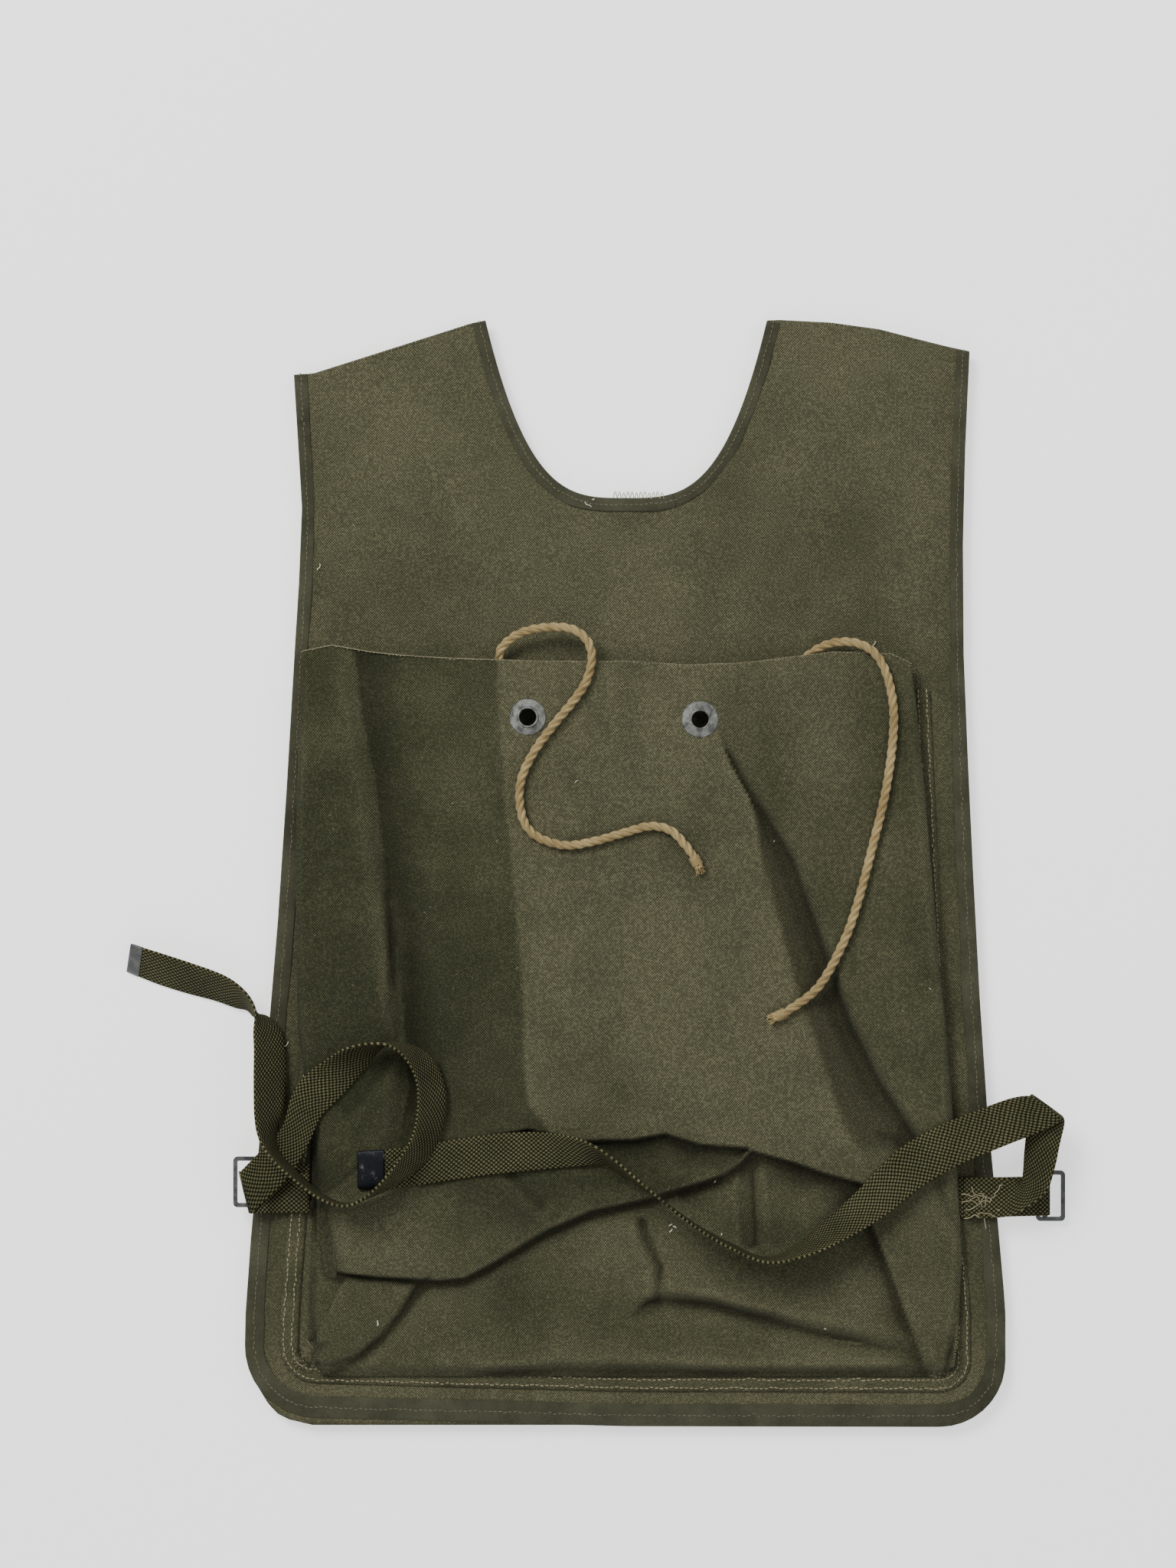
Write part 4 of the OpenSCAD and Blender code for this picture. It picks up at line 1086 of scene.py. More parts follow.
    # edges turn down to the gussets, the bottom to its seam
    z -= 3.0 * smoothstep(7, 0, x - l) ** 1.5 * smoothstep(150, 120, y)
    z -= 3.0 * smoothstep(7, 0, r - x) ** 1.5 * smoothstep(146, 120, y)
    z = z - (z - 14.6) * smoothstep(-331, -341.5, y) ** 1.3
    # flat seats under the grommets and the washers
    for ex, ey in FRONT_HOLES:
        w = smoothstep(19, 13.4, np.hypot(x - ex, y - ey))
        z = z * (1 - w) + 25.68 * w
    return np.clip(z, 13.2, np.where(y > 60, 25.9, 25.6))


def face_marks(x, y, z):
    """How faded the face is, and how dark: dark where it was folded under, brown in the middle, painted
    shade in its folds, hollows and under its lapped edges, and a painted highlight on its ridges."""
    d, side, _ = to_line(x, y, SHADE_LINE)
    dark = smoothstep(-2.0, 2.0, -d * side)
    d1, s1, _ = to_line(x, y, EDGE_L)
    above = smoothstep(-190, -150, y)
    strip = 0.10 + 0.16 * bump(d1 - 9, 9)
    # right of the left valley the canvas is painted darker near the valley and lightens to the right: a
    # painted shade
    beside = 0.26 * smoothstep(6, 60, d1)
    fade = 0.84 + 0.12 * ripple(x, y, 110, 201)
    fade = fade * (1 - dark) + (np.where(s1 < 0, strip, beside) + 0.06 * ripple(x, y, 80, 202)) * dark
    # painted shade along the left valley, strongest just right of it; the dark part is also darker towards
    # the bottom
    soil_and_painted_shade = np.where(s1 > 0, 0.60 * smoothstep(30, 0, d1), 0.30 * smoothstep(3, 0, d1)) * dark * above
    soil_and_painted_shade += 0.22 * dark * (s1 > 0) * smoothstep(-40, -130, y) * above
    # right of the long fold the canvas is darker; the slope down to the valley and the valley itself get
    # painted shade
    dv, sv, av = to_line(x, y, VALLEY_R)
    dp, sp, _ = to_line(x, y, PLATEAU_R)
    top = smoothstep(150, 118, y)
    right = smoothstep(-1.5, 1.5, dv * sv) * top * smoothstep(40, 66, x + 0.35 * (y - 100) + 60)
    fade -= (0.36 + 0.16 * smoothstep(60, -120, y)) * right
    between = ((sv < 0) & (sp > 0)) * 1.0
    soil_and_painted_shade += between * 0.66 * smoothstep(0, 6, dp) * (1 - 0.25 * smoothstep(5, 0, dv)) * smoothstep(122, 112,
            y) * smoothstep(-196, -178, y)
    soil_and_painted_shade += (sv > 0) * 0.42 * smoothstep(7, 0, dv) * smoothstep(0.02, 0.1, av)
    g_line = to_line(x, y, LAP_SHADOW)[0]
    f_line = to_line(x, y, FLAP_FOOT)[0]
    lower = smoothstep(-2, 3, inside(x, y, LOWER))
    flap = smoothstep(-2, 3, inside(x, y, FLAP))
    fade = fade * (1 - lower) + (0.56 + 0.12 * ripple(x, y, 90, 203)) * lower
    # the flap is painted darker towards the lapped edge above it, a painted shadow, and paler at its left
    # bottom
    flap_tone_and_painted_shadow = 0.04 + 0.54 * smoothstep(30, 78, g_line) + 0.22 * smoothstep(-110, -150,
            x) * smoothstep(-200, -240, y)
    fade = fade * (1 - flap) + (flap_tone_and_painted_shadow + 0.06 * ripple(x, y, 70, 204)) * flap
    # painted shadow under the lapped edge, under the flap's foot and in the crease on the flap
    soil_and_painted_shade += 0.55 * smoothstep(26, 1, g_line) * np.maximum(flap, lower)
    soil_and_painted_shade += 0.45 * smoothstep(13, 0, f_line) * lower * (1 - flap)
    soil_and_painted_shade += 0.40 * bump(to_line(x, y, [(-134.7, -202.5), (-103.4, -215.6), (-66.8, -233.9)])[0], 15) * flap
    uf = smoothstep(-2, 3, inside(x, y, UNDERFOLD))
    fade = fade * (1 - uf) + 0.62 * uf
    rf = smoothstep(-2, 3, inside(x, y, RIGHTFOLD)) * smoothstep(-195, -225, y)
    fade = fade * (1 - rf) + 0.62 * rf
    # painted shade along the underfold's edge, and a dark line along the small crease in the corner
    u_edge = to_line(x, y, UNDERFOLD_EDGE)
    soil_and_painted_shade += 0.60 * smoothstep(9, 0, u_edge[0]) * (u_edge[1] > 0) + 0.2 * smoothstep(2.5, 0, u_edge[0])
    soil_and_painted_shade += 0.45 * bump(to_line(x, y, [(-220.3, -320), (-216.1, -311.1), (-209.8, -313.2),
            (-208.8, -322.6)])[0], 3.0)
    # painted shade beside the right bottom fold's edge and in the right tuck
    r_edge = to_line(x, y, RIGHT_EDGE)[0]
    soil_and_painted_shade += 0.55 * smoothstep(26, 0, r_edge) * lower * (1 - rf)
    soil_and_painted_shade += 0.25 * smoothstep(6, 0, to_line(x, y, RIGHT_TUCK)[0])
    # painted shade in hollows: darker where the face lies below its local mean height
    soil_and_painted_shade += 0.75 * smoothstep(0.25, 3.2, soft_mean(z, 9) - z) + 0.40 * smoothstep(0.8, 6.0,
            soft_mean(z, 26) - z)
    # painted shade where the face turns down at its left edge and at the bottom seam, and in the slot left
    # of the flap
    l, _ = face_sides(y)
    soil_and_painted_shade += 0.30 * smoothstep(8, 0, x - l) * smoothstep(-40, -120, y) + 0.25 * smoothstep(-333, -341, y)
    soil_and_painted_shade += 0.45 * smoothstep(14, 0, to_line(x, y, LEFT_SLOT)[0]) * smoothstep(-160, -185, y)
    # painted highlight on ridges, paler where the face stands above its local mean height, and rubbed
    # streaks below the mouth
    fade = fade + 0.34 * smoothstep(0.15, 1.8, z - soft_mean(z, 7))
    for sx, amount in ((-7, 0.22), (18, 0.16), (-30, 0.12), (108, 0.10)):
        fade += amount * bump(x - sx + 0.02 * y, 5) * smoothstep(40, 120, y)
    return {"fade": np.clip(fade, 0, 1), "soil_and_painted_shade": np.clip(soil_and_painted_shade, 0, 0.90)}


def soft_mean(z, cells):
    """A grid's running mean over a square of that many cells, from its summed-area table."""
    k = int(cells) | 1
    h = k // 2
    p = np.pad(z, h + 1, mode="edge")
    s = p.cumsum(0).cumsum(1)
    n = k
    return ((s[n:, n:] - s[:-n, n:] - s[n:, :-n] + s[:-n, :-n]) / (n * n))[1:1 + z.shape[0], 1:1
            + z.shape[1]]


def pocket_face(nx=276, ny=308):
    """The face's grid: rows from the bottom to the mouth's own wavy line, columns spread between the
    two edges."""
    u = np.linspace(0, 1, nx)[None]
    v = np.linspace(0, 1, ny)[:, None]
    x_top = -220 + u * (193 + 220)
    top = np.interp(x_top, mouth_line[:, 0], mouth_line[:, 1])
    y = -342.5 + v * (top + 342.5)
    l, r = face_sides(y)
    x = l + (r - l) * u
    z = face_height(x, y)
    return np.stack([x, y, z], -1)


def with_holes(obj, holes, radius):
    """Cuts round openings through a shell: faces with their middle inside a hole go, and the hole's
    edge is drawn onto the circle. The grommet's flange covers the edge."""
    mesh = obj.data
    co = np.empty(len(mesh.vertices) * 3, np.float32)
    mesh.vertices.foreach_get("co", co)
    co = co.reshape(-1, 3) / MM
    for hx_, hy_ in holes:
        d = np.hypot(co[:, 0] - hx_, co[:, 1] - hy_)
        near = (d > radius - 1.2) & (d < radius + 1.2)
        k = np.where(near, radius / np.maximum(d, 1e-6), 1)
        co[:, 0] = hx_ + (co[:, 0] - hx_) * k
        co[:, 1] = hy_ + (co[:, 1] - hy_) * k
    mesh.vertices.foreach_set("co", (co * MM).astype(np.float32).ravel())
    bm = bmesh.new()
    bm.from_mesh(mesh)
    bm.verts.ensure_lookup_table()
    gone = []
    for f in bm.faces:
        c = f.calc_center_median() / MM
        if any(math.hypot(c.x - a, c.y - b_) < radius - 0.15 for a, b_ in holes):
            gone.append(f)
    bmesh.ops.delete(bm, geom=gone, context="FACES")
    bm.to_mesh(mesh)
    bm.free()
    mesh.update()
    return obj


face_p = pocket_face()
face_m = face_marks(face_p[..., 0], face_p[..., 1], face_p[..., 2])
face_uv = face_p[..., :2].copy()
face = shell("front_pocket_canvas", face_p, 1.1, duck, uv=face_uv, marks=face_m)
with_holes(face, FRONT_HOLES, HOLE_R)
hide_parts("front_pocket_face", "front_pocket_top")
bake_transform(face)


def face_top_at(x, y):
    """The face's height at one place."""
    return float(face_height(np.array([[x]], float), np.array([[y]], float))[0, 0])


# turned hem behind the mouth, with its selvage thread along the edge
def hem():
    t = np.linspace(0, 1, 200)
    x = np.interp(t, [0, 1], [-218, 191])
    top = np.interp(x, mouth_line[:, 0], mouth_line[:, 1])
    v = np.linspace(0, 1, 8)[:, None]
    y = top[None] - 0.6 - 12.0 * v
    z = face_height(np.broadcast_to(x[None], y.shape), y) - 1.35
    return np.stack([np.broadcast_to(x[None], y.shape), y, z], -1)


hem_p = hem()
hem_piece = shell("front_pocket_hem_turn", hem_p, 0.9, duck,
                  marks=canvas_marks(hem_p[..., 0], hem_p[..., 1]))
fit(hem_piece, "canvas", "front_mouth", "front_pocket_hem")
mouth_path = resample(mouth_line, 2.0)
lip = at_height(mouth_path - [0, 0.15], 25.2)
lip_path = smooth_line(lip, 1.0)
lip_path[:, 2] += 0.10 * ripple(lip_path[:, 0], lip_path[:, 0] * 0, 6, 77)
edge_thread = thread("front_mouth_selvage", [lip_path], 0.42, drab_thread)
fit(edge_thread, "canvas", "front_mouth")
sew("front_mouth_selvage_stitching", np.stack([lip_path[:, 0], lip_path[:, 1] - 0.2, lip_path[:, 2] + 0.55],
        1), None, "front_mouth",
    pale_thread, pitch=2.6, length=1.5, r=0.2, seed=31)


# ---------------------------------------------------------------- gussets

def chevron_grid(stations, low, high, n=22, across="x", wavy=0.5, seed=1):
    """Gusset cloth: at each station a curve from the face's edge, in to the fold, and out to the foot,
    which is two parabolas that meet with a round fold."""
    st = np.asarray(stations, float)
    key = smooth_line(st, 3.0)
    t = np.linspace(0, 1, n)
    a, b, c = key[:, 1:2], key[:, 2:3], key[:, 3:4]
    s = np.where(t < 0.5, t * 2, 2 - 2 * t)[None]
    e = 1 - (1 - s) ** 1.7
    end = np.where(t < 0.5, 0, 1)[None]
    out = (a * (1 - end) + c * end) * (1 - e) + b * e
    z = high + (low - high) * (t[None] - 0.16 * np.sin(2 * math.pi * t[None]))
    z = z + wavy * 0.3 * ripple(out, key[:, :1] + 0 * out, 30, seed) * np.sin(math.pi * t)[None]
    along = np.broadcast_to(key[:, :1], out.shape)
    d = np.broadcast_to(arc_length(key[:, :1])[:, None], out.shape)
    p = np.stack([out, along, z] if across == "x" else [along, out, z], -1)
    w = np.abs(np.diff(p, axis=1)).sum(-1)
    uv = np.stack([np.concatenate([np.zeros((len(key), 1)), w.cumsum(1)], 1), d], -1)
    return p, uv


def gusset(name, stations, low, high, across="x", outward=(0, 0, 1), seed=1, under=False):
    p, uv = chevron_grid(stations, low, high, across=across, seed=seed)
    if under:
        p[..., 2] = np.maximum(np.minimum(p[..., 2], face_height(p[..., 0], p[..., 1]) - 1.5), low)
    n = grid_normals(p)
    if (n[:, -6:] * np.asarray(outward, float)).sum(-1).mean() < 0:
        p, uv = p[:, ::-1], uv[:, ::-1]
    up = bool(grid_normals(p)[..., 2].mean() >= 0)
    # painted shade: the gusset is darker away from the edge that it shares with the face, where it lies
    # folded in
    marks = {"fade": np.clip(0.45 + 0.12 * ripple(p[..., 0], p[..., 1], 60, seed), 0, 1),
             "soil_and_painted_shade": np.clip(0.35 - 0.3 * smoothstep(8, 0, np.abs(p[..., 2] - high)), 0, 1)}
    o = shell(name, p, 0.9, duck, uv=uv, marks=marks, up=up)
    return o


F_LOW, F_HIGH = 13.1, 24.2
gl_up = gusset("front_left_gusset_upper", [[127, -219, -165, -190], [60, -221, -170, -194],
        [0, -221, -175, -199], [-60, -221, -178, -203], [-104, -221, -182, -207]],
               F_LOW, F_HIGH, outward=(-1, 0, 0.3), seed=301, under=True)
gl_dn = gusset("front_left_gusset_lower", [[-104, -221, -182, -207], [-160, -214, -186, -211],
        [-220, -211.5, -190, -214], [-318, -210, -204, -217]],
               F_LOW, F_HIGH - 3, outward=(-1, 0, 0.3), seed=302, under=True)
gr_up = gusset("front_right_gusset_upper", [[127, 195, 168, 194], [60, 201, 172, 198], [0, 205, 176, 201],
        [-60, 210, 180, 203], [-104, 214, 184, 206]],
               F_LOW, F_HIGH, outward=(1, 0, 0.3), seed=303, under=True)
gr_dn = gusset("front_right_gusset_lower", [[-104, 214, 184, 206], [-160, 219, 188, 210],
        [-220, 223, 192, 214], [-318, 221, 212, 219]],
               F_LOW, F_HIGH - 2, outward=(1, 0, 0.3), seed=304, under=True)
gb = gusset("front_bottom_gusset_cloth", [[-203, -338, -331, -339], [-150, -339, -318, -340],
        [0, -340, -308, -341], [150, -340, -318, -341], [205, -338, -331, -340]],
            F_LOW, 15.8, across="y", outward=(0, -1, 0.3), seed=305, under=True)
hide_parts("front_left_gusset")
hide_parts("front_left_gusset")
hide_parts("front_right_gusset")
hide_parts("front_right_gusset")
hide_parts("front_bottom_gusset")
for o in (gl_up, gr_up):
    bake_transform(o)
for o in (gl_dn, gr_dn, gb):
    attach(o, "front")


# ---------------------------------------------------------------- seams

def band(path, d0, d1, z, n=7, wavy=0.3, seed=1):
    """A flat strip between two insets of a path, a little wavy, with its long edges pressed down."""
    v = np.linspace(0, 1, n)
    rows = np.stack([inset(path, d0 + (d1 - d0) * q) for q in v], 1)
    s = arc_length(path)
    zz = z + wavy * 0.35 * ripple(np.broadcast_to(s[:, None], rows.shape[:2]),
            np.broadcast_to(v[None] * 13, rows.shape[:2]), 16, seed)
    zz = zz - 0.5 * np.abs(2 * v[None] - 1) ** 4
    uv = np.stack([np.broadcast_to((d0 + (d1 - d0) * v)[None], zz.shape),
                   np.broadcast_to(s[:, None], zz.shape)], -1)
    return np.concatenate([rows, zz[..., None]], -1), uv


seam_path = side_path[(side_path[:, 1] < 128)]
fs_p, fs_uv = band(seam_path, 24, 37, 13.05, seed=401)
# darker along the strip's inner edge, beside the pocket's side
fs_m = {"fade": np.clip(0.62 + 0.14 * ripple(fs_p[..., 0], fs_p[..., 1], 40, 402), 0, 1),
        "soil_and_painted_shade": np.clip(0.25 * bump(fs_p[..., 2] * 0 + np.linspace(0, 1, 7)[None] - 1, 0.2), 0, 1)}
front_seam = shell("front_pocket_seam_strip", fs_p, 1.3, duck, uv=fs_uv, marks=fs_m)
fit(front_seam, "canvas", "front", "front_pocket_seam")
sew("front_seam_stitching_outer", inset(seam_path, 26.6), 13.1, "front", pale_thread, pitch=3.4, length=2.6,
    r=0.42, seed=41, wander=0.3)
sew("front_seam_stitching_inner", inset(seam_path, 32.4), 13.2, "front", pale_thread, pitch=3.4, length=2.6,
    r=0.42, seed=42, wander=0.4)

rs_p, rs_uv = band(seam_path, 24, 37, 6.1, seed=411)
rear_seam = shell("rear_pocket_seam_strip", rs_p, 1.2, plain_duck, uv=rs_uv, up=False)
fit(rear_seam, "rear_canvas", "back", "rear_pocket_seam")
for k, dd in enumerate((26.6, 32.4)):
    o = stitches(f"rear_seam_stitching_{k}", at_height(inset(seam_path, dd), 5.85), 3.6, 2.9, 0.32,
                 pale_thread, seed=43 + k)
    fit(o, "binding", "back")


# ---------------------------------------------------------------- rear pocket

def rear_face():
    u = np.linspace(0, 1, 180)[None]
    v = np.linspace(0, 1, 200)[:, None]
    y = -341 + v * (148 + 341)
    l = np.interp(y, [-341, -300, 148], [-219, -221, -204])
    r = np.interp(y, [-341, -300, 148], [219, 221, 204])
    x = l + (r - l) * u
    z = 0.06 + 0.25 * np.clip(1 + ripple(x, y, 90, 501), 0, 3) * smoothstep(0, 40,
            np.minimum(np.minimum(x - l, r - x), np.minimum(y + 341, 148 - y)))
    for ex, ey in REAR_HOLES:
        w = smoothstep(22, 13.5, np.hypot(x - ex, y - ey))
        z = z * (1 - w) + 0.58 * w
    return np.stack(np.broadcast_arrays(x, y, z), -1)


rf_p = rear_face()
rf_m = {"fade": np.clip(0.62 + 0.07 * ripple(rf_p[..., 0], rf_p[..., 1], 150, 502), 0, 1),
        "soil_and_painted_shade": np.clip(0.06 + 0.04 * ripple(rf_p[..., 0], rf_p[..., 1], 90, 503), 0, 0.6)}
rear_face_piece = shell("rear_pocket_canvas", rf_p, 0.62, duck, marks=rf_m, up=False)
with_holes(rear_face_piece, REAR_HOLES, HOLE_R)
fit(rear_face_piece, "rear_canvas", "rear_pocket", "rear_pocket_face")
hx2 = np.linspace(-203.6, 203.6, 120)[None]
hv = np.linspace(0, 1, 6)[:, None]
rh = np.stack(np.broadcast_arrays(hx2, 147.4 - 12.4 * hv, 2.2 + 0 * hx2 + 0 * hv), -1)
rear_hem = shell("rear_pocket_hem_turn", rh, 0.9, plain_duck)
fit(rear_hem, "rear_canvas", "rear_pocket", "rear_pocket_hem")
rear_lip = thread("rear_mouth_selvage", [np.stack([hx2[0], hx2[0] * 0 + 148, hx2[0] * 0 + 0.9], 1)], 0.42,
                  drab_thread)
fit(rear_lip, "rear_canvas", "rear_pocket")
R_LOW, R_HIGH = 1.5, 5.6
for s, tag in ((-1, "left"), (1, "right")):
    up = gusset(f"rear_{tag}_gusset_cloth", [[126, s * 201, s * 168, s * 190],
            [0, s * 205, s * 176, s * 199], [-105, s * 209, s * 182, s * 206],
                                            [-220, s * 214, s * 192, s * 213],
            [-318, s * 216, s * 208, s * 217]],
                R_HIGH, R_LOW, outward=(s, 0, -0.3), seed=510 + s)
    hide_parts(f"rear_{tag}_gusset")
    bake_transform(up)
rb = gusset("rear_bottom_gusset_cloth", [[-203, -338, -331, -339], [0, -339, -308, -340],
        [203, -338, -331, -339]], R_HIGH, R_LOW,
            across="y", outward=(0, -1, -0.3), seed=513)
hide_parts("rear_bottom_gusset")
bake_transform(rb)


# ---------------------------------------------------------------- straps, tabs and keepers

left_end = [[(-216, -204, 17.6), (-216, -229.5, 17.6)], [(-236.5, -204, 17.6), (-236.5, -229.5, 17.6)],
            [(-246.5, -203.5, 22.5), (-245, -229.2, 22.5)], [(-259, -202.7, 22.5), (-252.5, -229.4, 22.5)],
            [(-262.6, -202.5, 23.0), (-255.8, -229.5, 23.0)],
            [(-263, -202.3, 23.9), (-256.2, -229.4, 23.9)]]
left_run = [
    [(-262, -202.5, 24.9), (-255, -229.5, 24.9)], [(-247, -187, 25), (-230, -205, 25.3)],
    [(-233, -171, 25.6), (-216, -182, 27.3)], [(-227, -151, 27), (-208, -164, 27)],
    [(-217, -136.5, 28.5), (-195, -150.5, 27)], [(-202.5, -125, 36), (-183, -137.5, 27)],
    [(-189.5, -117, 45), (-173, -125, 28)], [(-174, -113, 52), (-166, -117, 28.5)],
    [(-160, -114, 54), (-158, -114, 28.6)], [(-149, -122.5, 53), (-142.5, -117, 29)],
    [(-141.5, -137.5, 49.5), (-129.5, -128.5, 29)], [(-140.5, -155.5, 47), (-123, -151.5, 29)],
    [(-143.5, -174, 48), (-127.5, -176.5, 29)], [(-151.5, -188.5, 50), (-138.5, -196, 29)],
    [(-163.5, -204.5, 53), (-157.5, -210.5, 29)], [(-176.5, -216.5, 54), (-175.5, -219, 28.6)],
    [(-191, -222, 54), (-191, -223, 28.6)], [(-208, -216, 53.4), (-207, -216.5, 28)],
    [(-226, -202.5, 52), (-224.5, -201.5, 27.4)], [(-239, -190.5, 50), (-236, -188, 26.4)],
    [(-247, -178, 46), (-238, -174, 24.4)], [(-250.5, -163.5, 41), (-234, -161, 22.4)],
    [(-251.5, -140, 36), (-233, -139, 18.4)], [(-251.5, -119, 34), (-233.5, -118, 16.6)],
    [(-252, -106, 33), (-236.8, -104.5, 16)], [(-251.5, -96.5, 32), (-246.5, -96.5, 13.6)],
    [(-252, -90.5, 30), (-253.5, -97.5, 8.6)], [(-257.5, -81.5, 25), (-259, -93, 4.6)],
    [(-266.5, -73.5, 22), (-267.5, -91, 2.8)], [(-278, -67.5, 20), (-282, -86, 2.2)],
    [(-296.5, -61, 19), (-301, -81, 1.8)], [(-315, -55, 18.4), (-320, -75, 1.7)],
    [(-329.5, -50.5, 18), (-334, -69.5, 1.7)]]
left_tip_at = [[(-329.3, -50.6, 18), (-333.8, -69.6, 1.7)], [(-333.5, -49.2, 18), (-338, -67.8, 1.7)],
               [(-337.5, -48, 18), (-342, -66, 1.7)]]
right_end = [[(230, -233, 17.6), (230, -207.5, 17.6)], [(251.5, -233, 18), (251.5, -207.5, 17.7)],
             [(263, -230.5, 23), (265, -209.5, 17.2)], [(274, -223.5, 29.5), (269.5, -210, 16)],
             [(284, -214, 32), (271, -202.5, 16)], [(289.5, -197.5, 32.5), (271.5, -191, 18)],
             [(293, -182, 31), (272, -177, 23)], [(296, -170, 29.4), (272, -160, 27.6)],
             [(296, -164.8, 30.0), (274, -149.6, 29.4)], [(293.5, -162.8, 31.0), (276.5, -150.6, 30.4)]]
right_run = [
    [(293.2, -163.2, 31.8), (276.2, -151.0, 31.2)], [(292.5, -166.6, 32.8), (271, -150.0, 32.4)],
    [(279, -173.2, 33.4), (258, -152.6, 33)],
    [(252, -184, 33.6), (233.5, -162, 31.6)], [(225.5, -195, 33.4), (210, -172, 30)],
    [(199.5, -210, 34.4), (185, -187, 28.8)], [(173.5, -230, 37.4), (160, -212, 28)],
    [(147, -245, 45), (137, -234, 27.4)], [(121, -255.5, 50.4), (117, -250.5, 27.2)],
    [(95, -260, 52), (95, -260, 27)], [(69, -250, 52), (69.5, -250, 27)],
    [(43, -234, 52), (43, -235, 27)], [(16.5, -212.5, 51.4), (16.5, -215.5, 27.2)],
    [(-9.5, -190.5, 48.6), (-6, -201.5, 27.2)], [(-25, -181, 43), (-15.5, -196, 27.2)],
    [(-41, -176.5, 36.6), (-34.5, -197, 27.2)], [(-61.5, -175, 30), (-61.5, -199.5, 27.2)],
    [(-87.5, -176.5, 27.6), (-87.5, -202, 27.2)], [(-114, -180, 27.2), (-114, -205.5, 27.2)],
    [(-140, -184.5, 27.2), (-140, -209.5, 27.2)], [(-164.5, -187.5, 27.2), (-164.5, -212, 27.2)]]
right_tip_at = [[(-164, -187.4, 27.2), (-164, -212.1, 27.2)], [(-173, -188, 27.2), (-173, -212.1, 27.2)],
                [(-182.5, -188.5, 27.2), (-182.5, -212, 27.2)]]

for tag, run, end, tip in (("left", left_run, left_end, left_tip_at),
        ("right", right_run, right_end, right_tip_at)):
    strap, length = webbing(f"{tag}_waist_strap", run, 1.8, strap_web)
    fit(strap, "webbing", f"{tag}_strap", f"{tag}_strap")
    root, root_len = webbing(f"{tag}_strap_root", end, 1.8, strap_web)
    fit(root, "webbing", "front", f"{tag}_strap_end")
    cap, _ = webbing(f"{tag}_strap_metal_tip", tip, 2.4, grey_tip if tag == "left" else tip_lacquer,
                     step=1.2, crown=0.02)
    fit(cap, "strap_tip", f"{tag}_strap", f"{tag}_strap_tip")

for tag, s, start, bend, bx, by, bz, ty in (("left", -1, 216, 238, 254.2, -209.5, 15.8, -211),
        ("right", 1, 226, 251, 286.6, -220, 6, -220)):
    over = 1.3 + 0.35
    low = [(start, 13.9), (bend, 13.9), (bx - 7.5, bz + over + 0.9), (bx - 4.4, bz + over + 0.9),
           (bx - 2.9, bz + over - 0.2)]
    turn = [(bx + 2.56 * math.cos(a), bz + 2.56 * math.sin(a))
            for a in np.radians(np.linspace(185, 440, 14))]
    high = [(bx - 1.6, bz + 3.3), (bx - 4.4, bz + over + 2.6), (bx - 7.5, bz + over + 2.65), (bend, 15.65),
            (start, 15.65)]
    line = smooth_line(np.array(low + turn + high), 0.8)
    edges = [[(s * x, ty + WEB / 2, z), (s * x, ty - WEB / 2, z)] for x, z in line]
    tab, _ = webbing(f"{tag}_tab_loop", edges, 1.66, strap_web, step=0.6, crown=0.02)
    fit(tab, "webbing", "front", f"{tag}_buckle_tab")

for tag, (kx, ky) in (("left", (-88, 86)), ("right", (62, 86))):
    a = np.radians(np.linspace(205, -25, 15))
    arch = [(kx + 4.45 * math.cos(q), 15.2 + 4.45 * math.sin(q)) for q in a]
    line = np.array([(kx - 12.7, 12.4), (kx - 7.5, 12.4)] + arch + [(kx + 7.5, 12.4), (kx + 12.7, 12.4)])
    edges = [[(x, ky + 10, z), (x, ky - 1, z)] for x, z in smooth_line(line, 0.9)]
    keep, _ = webbing(f"{tag}_rope_keeper_web", edges, 1.5, strap_web, across=5, step=0.8)
    fit(keep, "webbing", "front", f"{tag}_rope_keeper")


# ---------------------------------------------------------------- metal

for n in ("left_buckle", "right_buckle"):
    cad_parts[n].data.materials.clear()
    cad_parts[n].data.materials.append(zinc)
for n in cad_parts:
    if "grommet" in n:
        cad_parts[n].data.materials.clear()
        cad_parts[n].data.materials.append(grommet_metal)


def turned(name, at, profile, material, n=64):
    """A ring turned about +Z from a closed section of (radius, height)."""
    a = np.linspace(0, 2 * math.pi, n, endpoint=False)
    pr = np.asarray(profile, float)
    p = np.stack([at[0] + pr[None, :, 0] * np.cos(a)[:, None], at[1] + pr[None, :, 0] * np.sin(a)[:, None],
                  np.broadcast_to(pr[None, :, 1], (n, len(pr)))], -1)
    m = len(pr)
    idx = np.arange(n * m).reshape(n, m)
    b = np.roll(idx, -1, 0)
    q = np.stack([idx, b, np.roll(b, -1, 1), np.roll(idx, -1, 1)], -1).reshape(-1, 4)
    o = make_mesh(name, p.reshape(-1, 3), q, material)
    # the section runs anticlockwise seen from -Y, so the faces point outwards
    mid_r = pr.mean(0)
    out = np.array([pr[0, 0] - mid_r[0], 0, pr[0, 1] - mid_r[1]])
    if np.dot(np.cross(p[1, 0] - p[0, 0], p[0, 1] - p[0, 0]), out) < 0:
        o.data.flip_normals()
    return o


rim = [(6.6 + 0.9 * math.cos(q), 26.75 + 0.75 * math.sin(q)) for q in np.radians(np.arange(0, 360, 30))]
left_rim = turned("left_grommet_rolled_rim", FRONT_HOLES[0], rim, grommet_metal)
rim2 = [(6.3 + 0.55 * math.cos(q), 26.65 + 0.35 * math.sin(q)) for q in np.radians(np.arange(0, 360, 30))]
right_rim = turned("right_grommet_rolled_rim", FRONT_HOLES[1], rim2, grommet_metal)
for o in (left_rim, right_rim):
    fit(o, "hardware", "front_mouth")


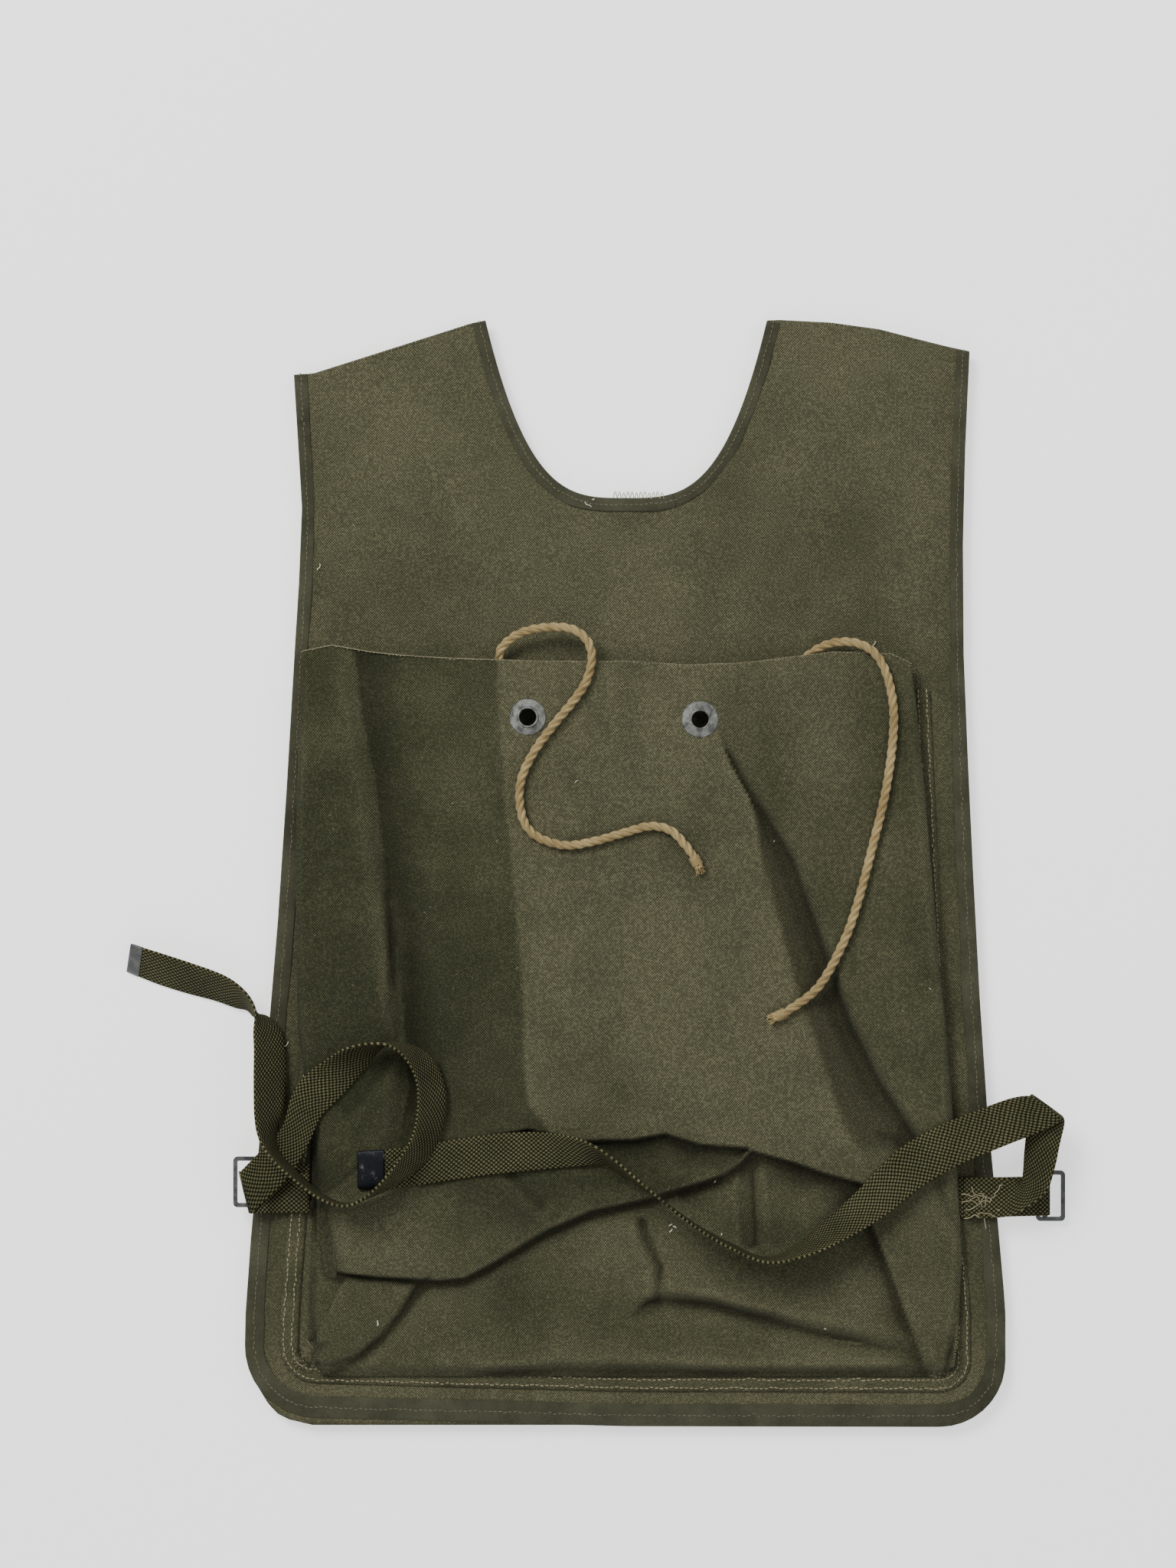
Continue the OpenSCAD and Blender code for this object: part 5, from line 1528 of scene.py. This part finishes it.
# ---------------------------------------------------------------- mending thread, lint and loose ends

def squiggle(start, way, length, curl, seed, z, n=9):
    """A loose thread: steps along a direction that turns a little, at random but seeded, at each step."""
    r = np.random.default_rng(seed)
    a = math.radians(way) + np.cumsum(r.normal(0, curl, n))
    step = length / n
    x = start[0] + np.cumsum(np.cos(a)) * step
    y = start[1] + np.cumsum(np.sin(a)) * step
    return smooth_line(np.stack([x, y, np.full(n, z) + r.uniform(0, 0.3, n)], 1), 0.8)


mend = []
rr = np.random.default_rng(17)
for sx, sy, w, ln in [(227.1, -219.2, 70, 13), (228.6, -229.7, 30, 22), (246.4, -226, 95, 19),
                      (250, -224.5, 80, 21), (231.8, -221.3, -20, 16), (238.6, -217.2, 10, 10),
                      (228.1, -233.9, 5, 14), (250.6, -228.6, 15, 12), (255.8, -224.5, 60, 8),
                      (237, -231.8, 0, 16), (226.5, -223.4, 20, 14), (243.3, -218.2, -40, 9)]:
    mend.append(squiggle((sx, sy), w, ln, 0.45, int(rr.integers(1e6)), 18.9))
mend.append(squiggle((243.3, -232.8), -75, 9, 0.3, 99, 18.4))
mending = thread("right_tab_mending_thread", mend, 0.36, pale_thread)
fit(mending, "binding", "front")

frays = []
for (cx, cy), n, z, reach in (((-220.8, -334.1), 46, 14.6, 12), ((216.1, -344.5), 40, 14.4, 10),
        ((-215.6, -325.2), 18, 17.5, 8), ((-134.7, -340.9), 10, 14.2, 9)):
    for _ in range(n):
        frays.append(squiggle((cx + rr.normal(0, reach * 0.5), cy + rr.normal(0, reach * 0.35)),
                              rr.uniform(0, 360), rr.uniform(2, 6), 0.6,
                              int(rr.integers(1e6)), z, n=5))
fray = thread("corner_fraying", frays, 0.17, drab_thread)
fit(fray, "binding", "front")

loose = [squiggle((-29.2, 254.2), 10, 7, 0.5, 5, 13.2), squiggle((-24, 255.8), -60, 4, 0.7, 6, 13.3),
         squiggle((-209.3, 212.5), -80, 6, 0.5, 7, 12.9), squiggle((-230.7, -112.8), -60, 11, 0.25, 8,
        13.0), squiggle((168.1, 155), 120, 5, 0.5, 10, 13.0)]
ends = thread("loose_thread_ends", loose, 0.30, white_fluff)
fit(ends, "rope", "front")

bits = []
for sx, sy, w, ln in [(30.8, -239.6, 40, 4), (30.8, -240.6, -40, 4), (31.8, -238.6, 100, 3.5),
                      (59.5, -210.4, 20, 2.5), (64.7, -246.4, 40, 2.2), (188.4, -298.1, 70, 4.5),
                      (134.2, -309, 20, 2), (33.9, -125.3, -30, 3), (117.5, -126.8, -120, 6),
                      (-187.4, -140.4, 60, 3), (218.2, -122.1, 60, 3), (-169.7, -308, 30, 5)]:
    bit = squiggle((sx, sy), w, ln, 0.5, int(rr.integers(1e6)), face_top_at(sx, sy) + 0.45, n=5)
    # above the bend the face moves with the mouth, so a bit there is left off
    if sy < FACE_BEND_Y:
        bits.append(bit)
lint = thread("lint_on_pocket", bits, 0.5, white_fluff)
fit(lint, "rope", "front")
upper = [squiggle((sx, sy), w, ln, 0.4, int(rr.integers(1e6)), 26.2, n=5) for sx, sy, w, ln in
         [(-35.5, 61.6, 25, 4), (73.1, 60, 10, 1.5), (100.2, 21.9, 60, 1.5), (-119, 48, 30, 1.5),
          (204.6, -77.3, 60, 3)]]
lint2 = thread("lint_on_face", upper, 0.22, white_fluff)
fit(lint2, "rope", "front_mouth")

print("rope lengths, mm:", {k: round(v) for k, v in rope_len.items()})
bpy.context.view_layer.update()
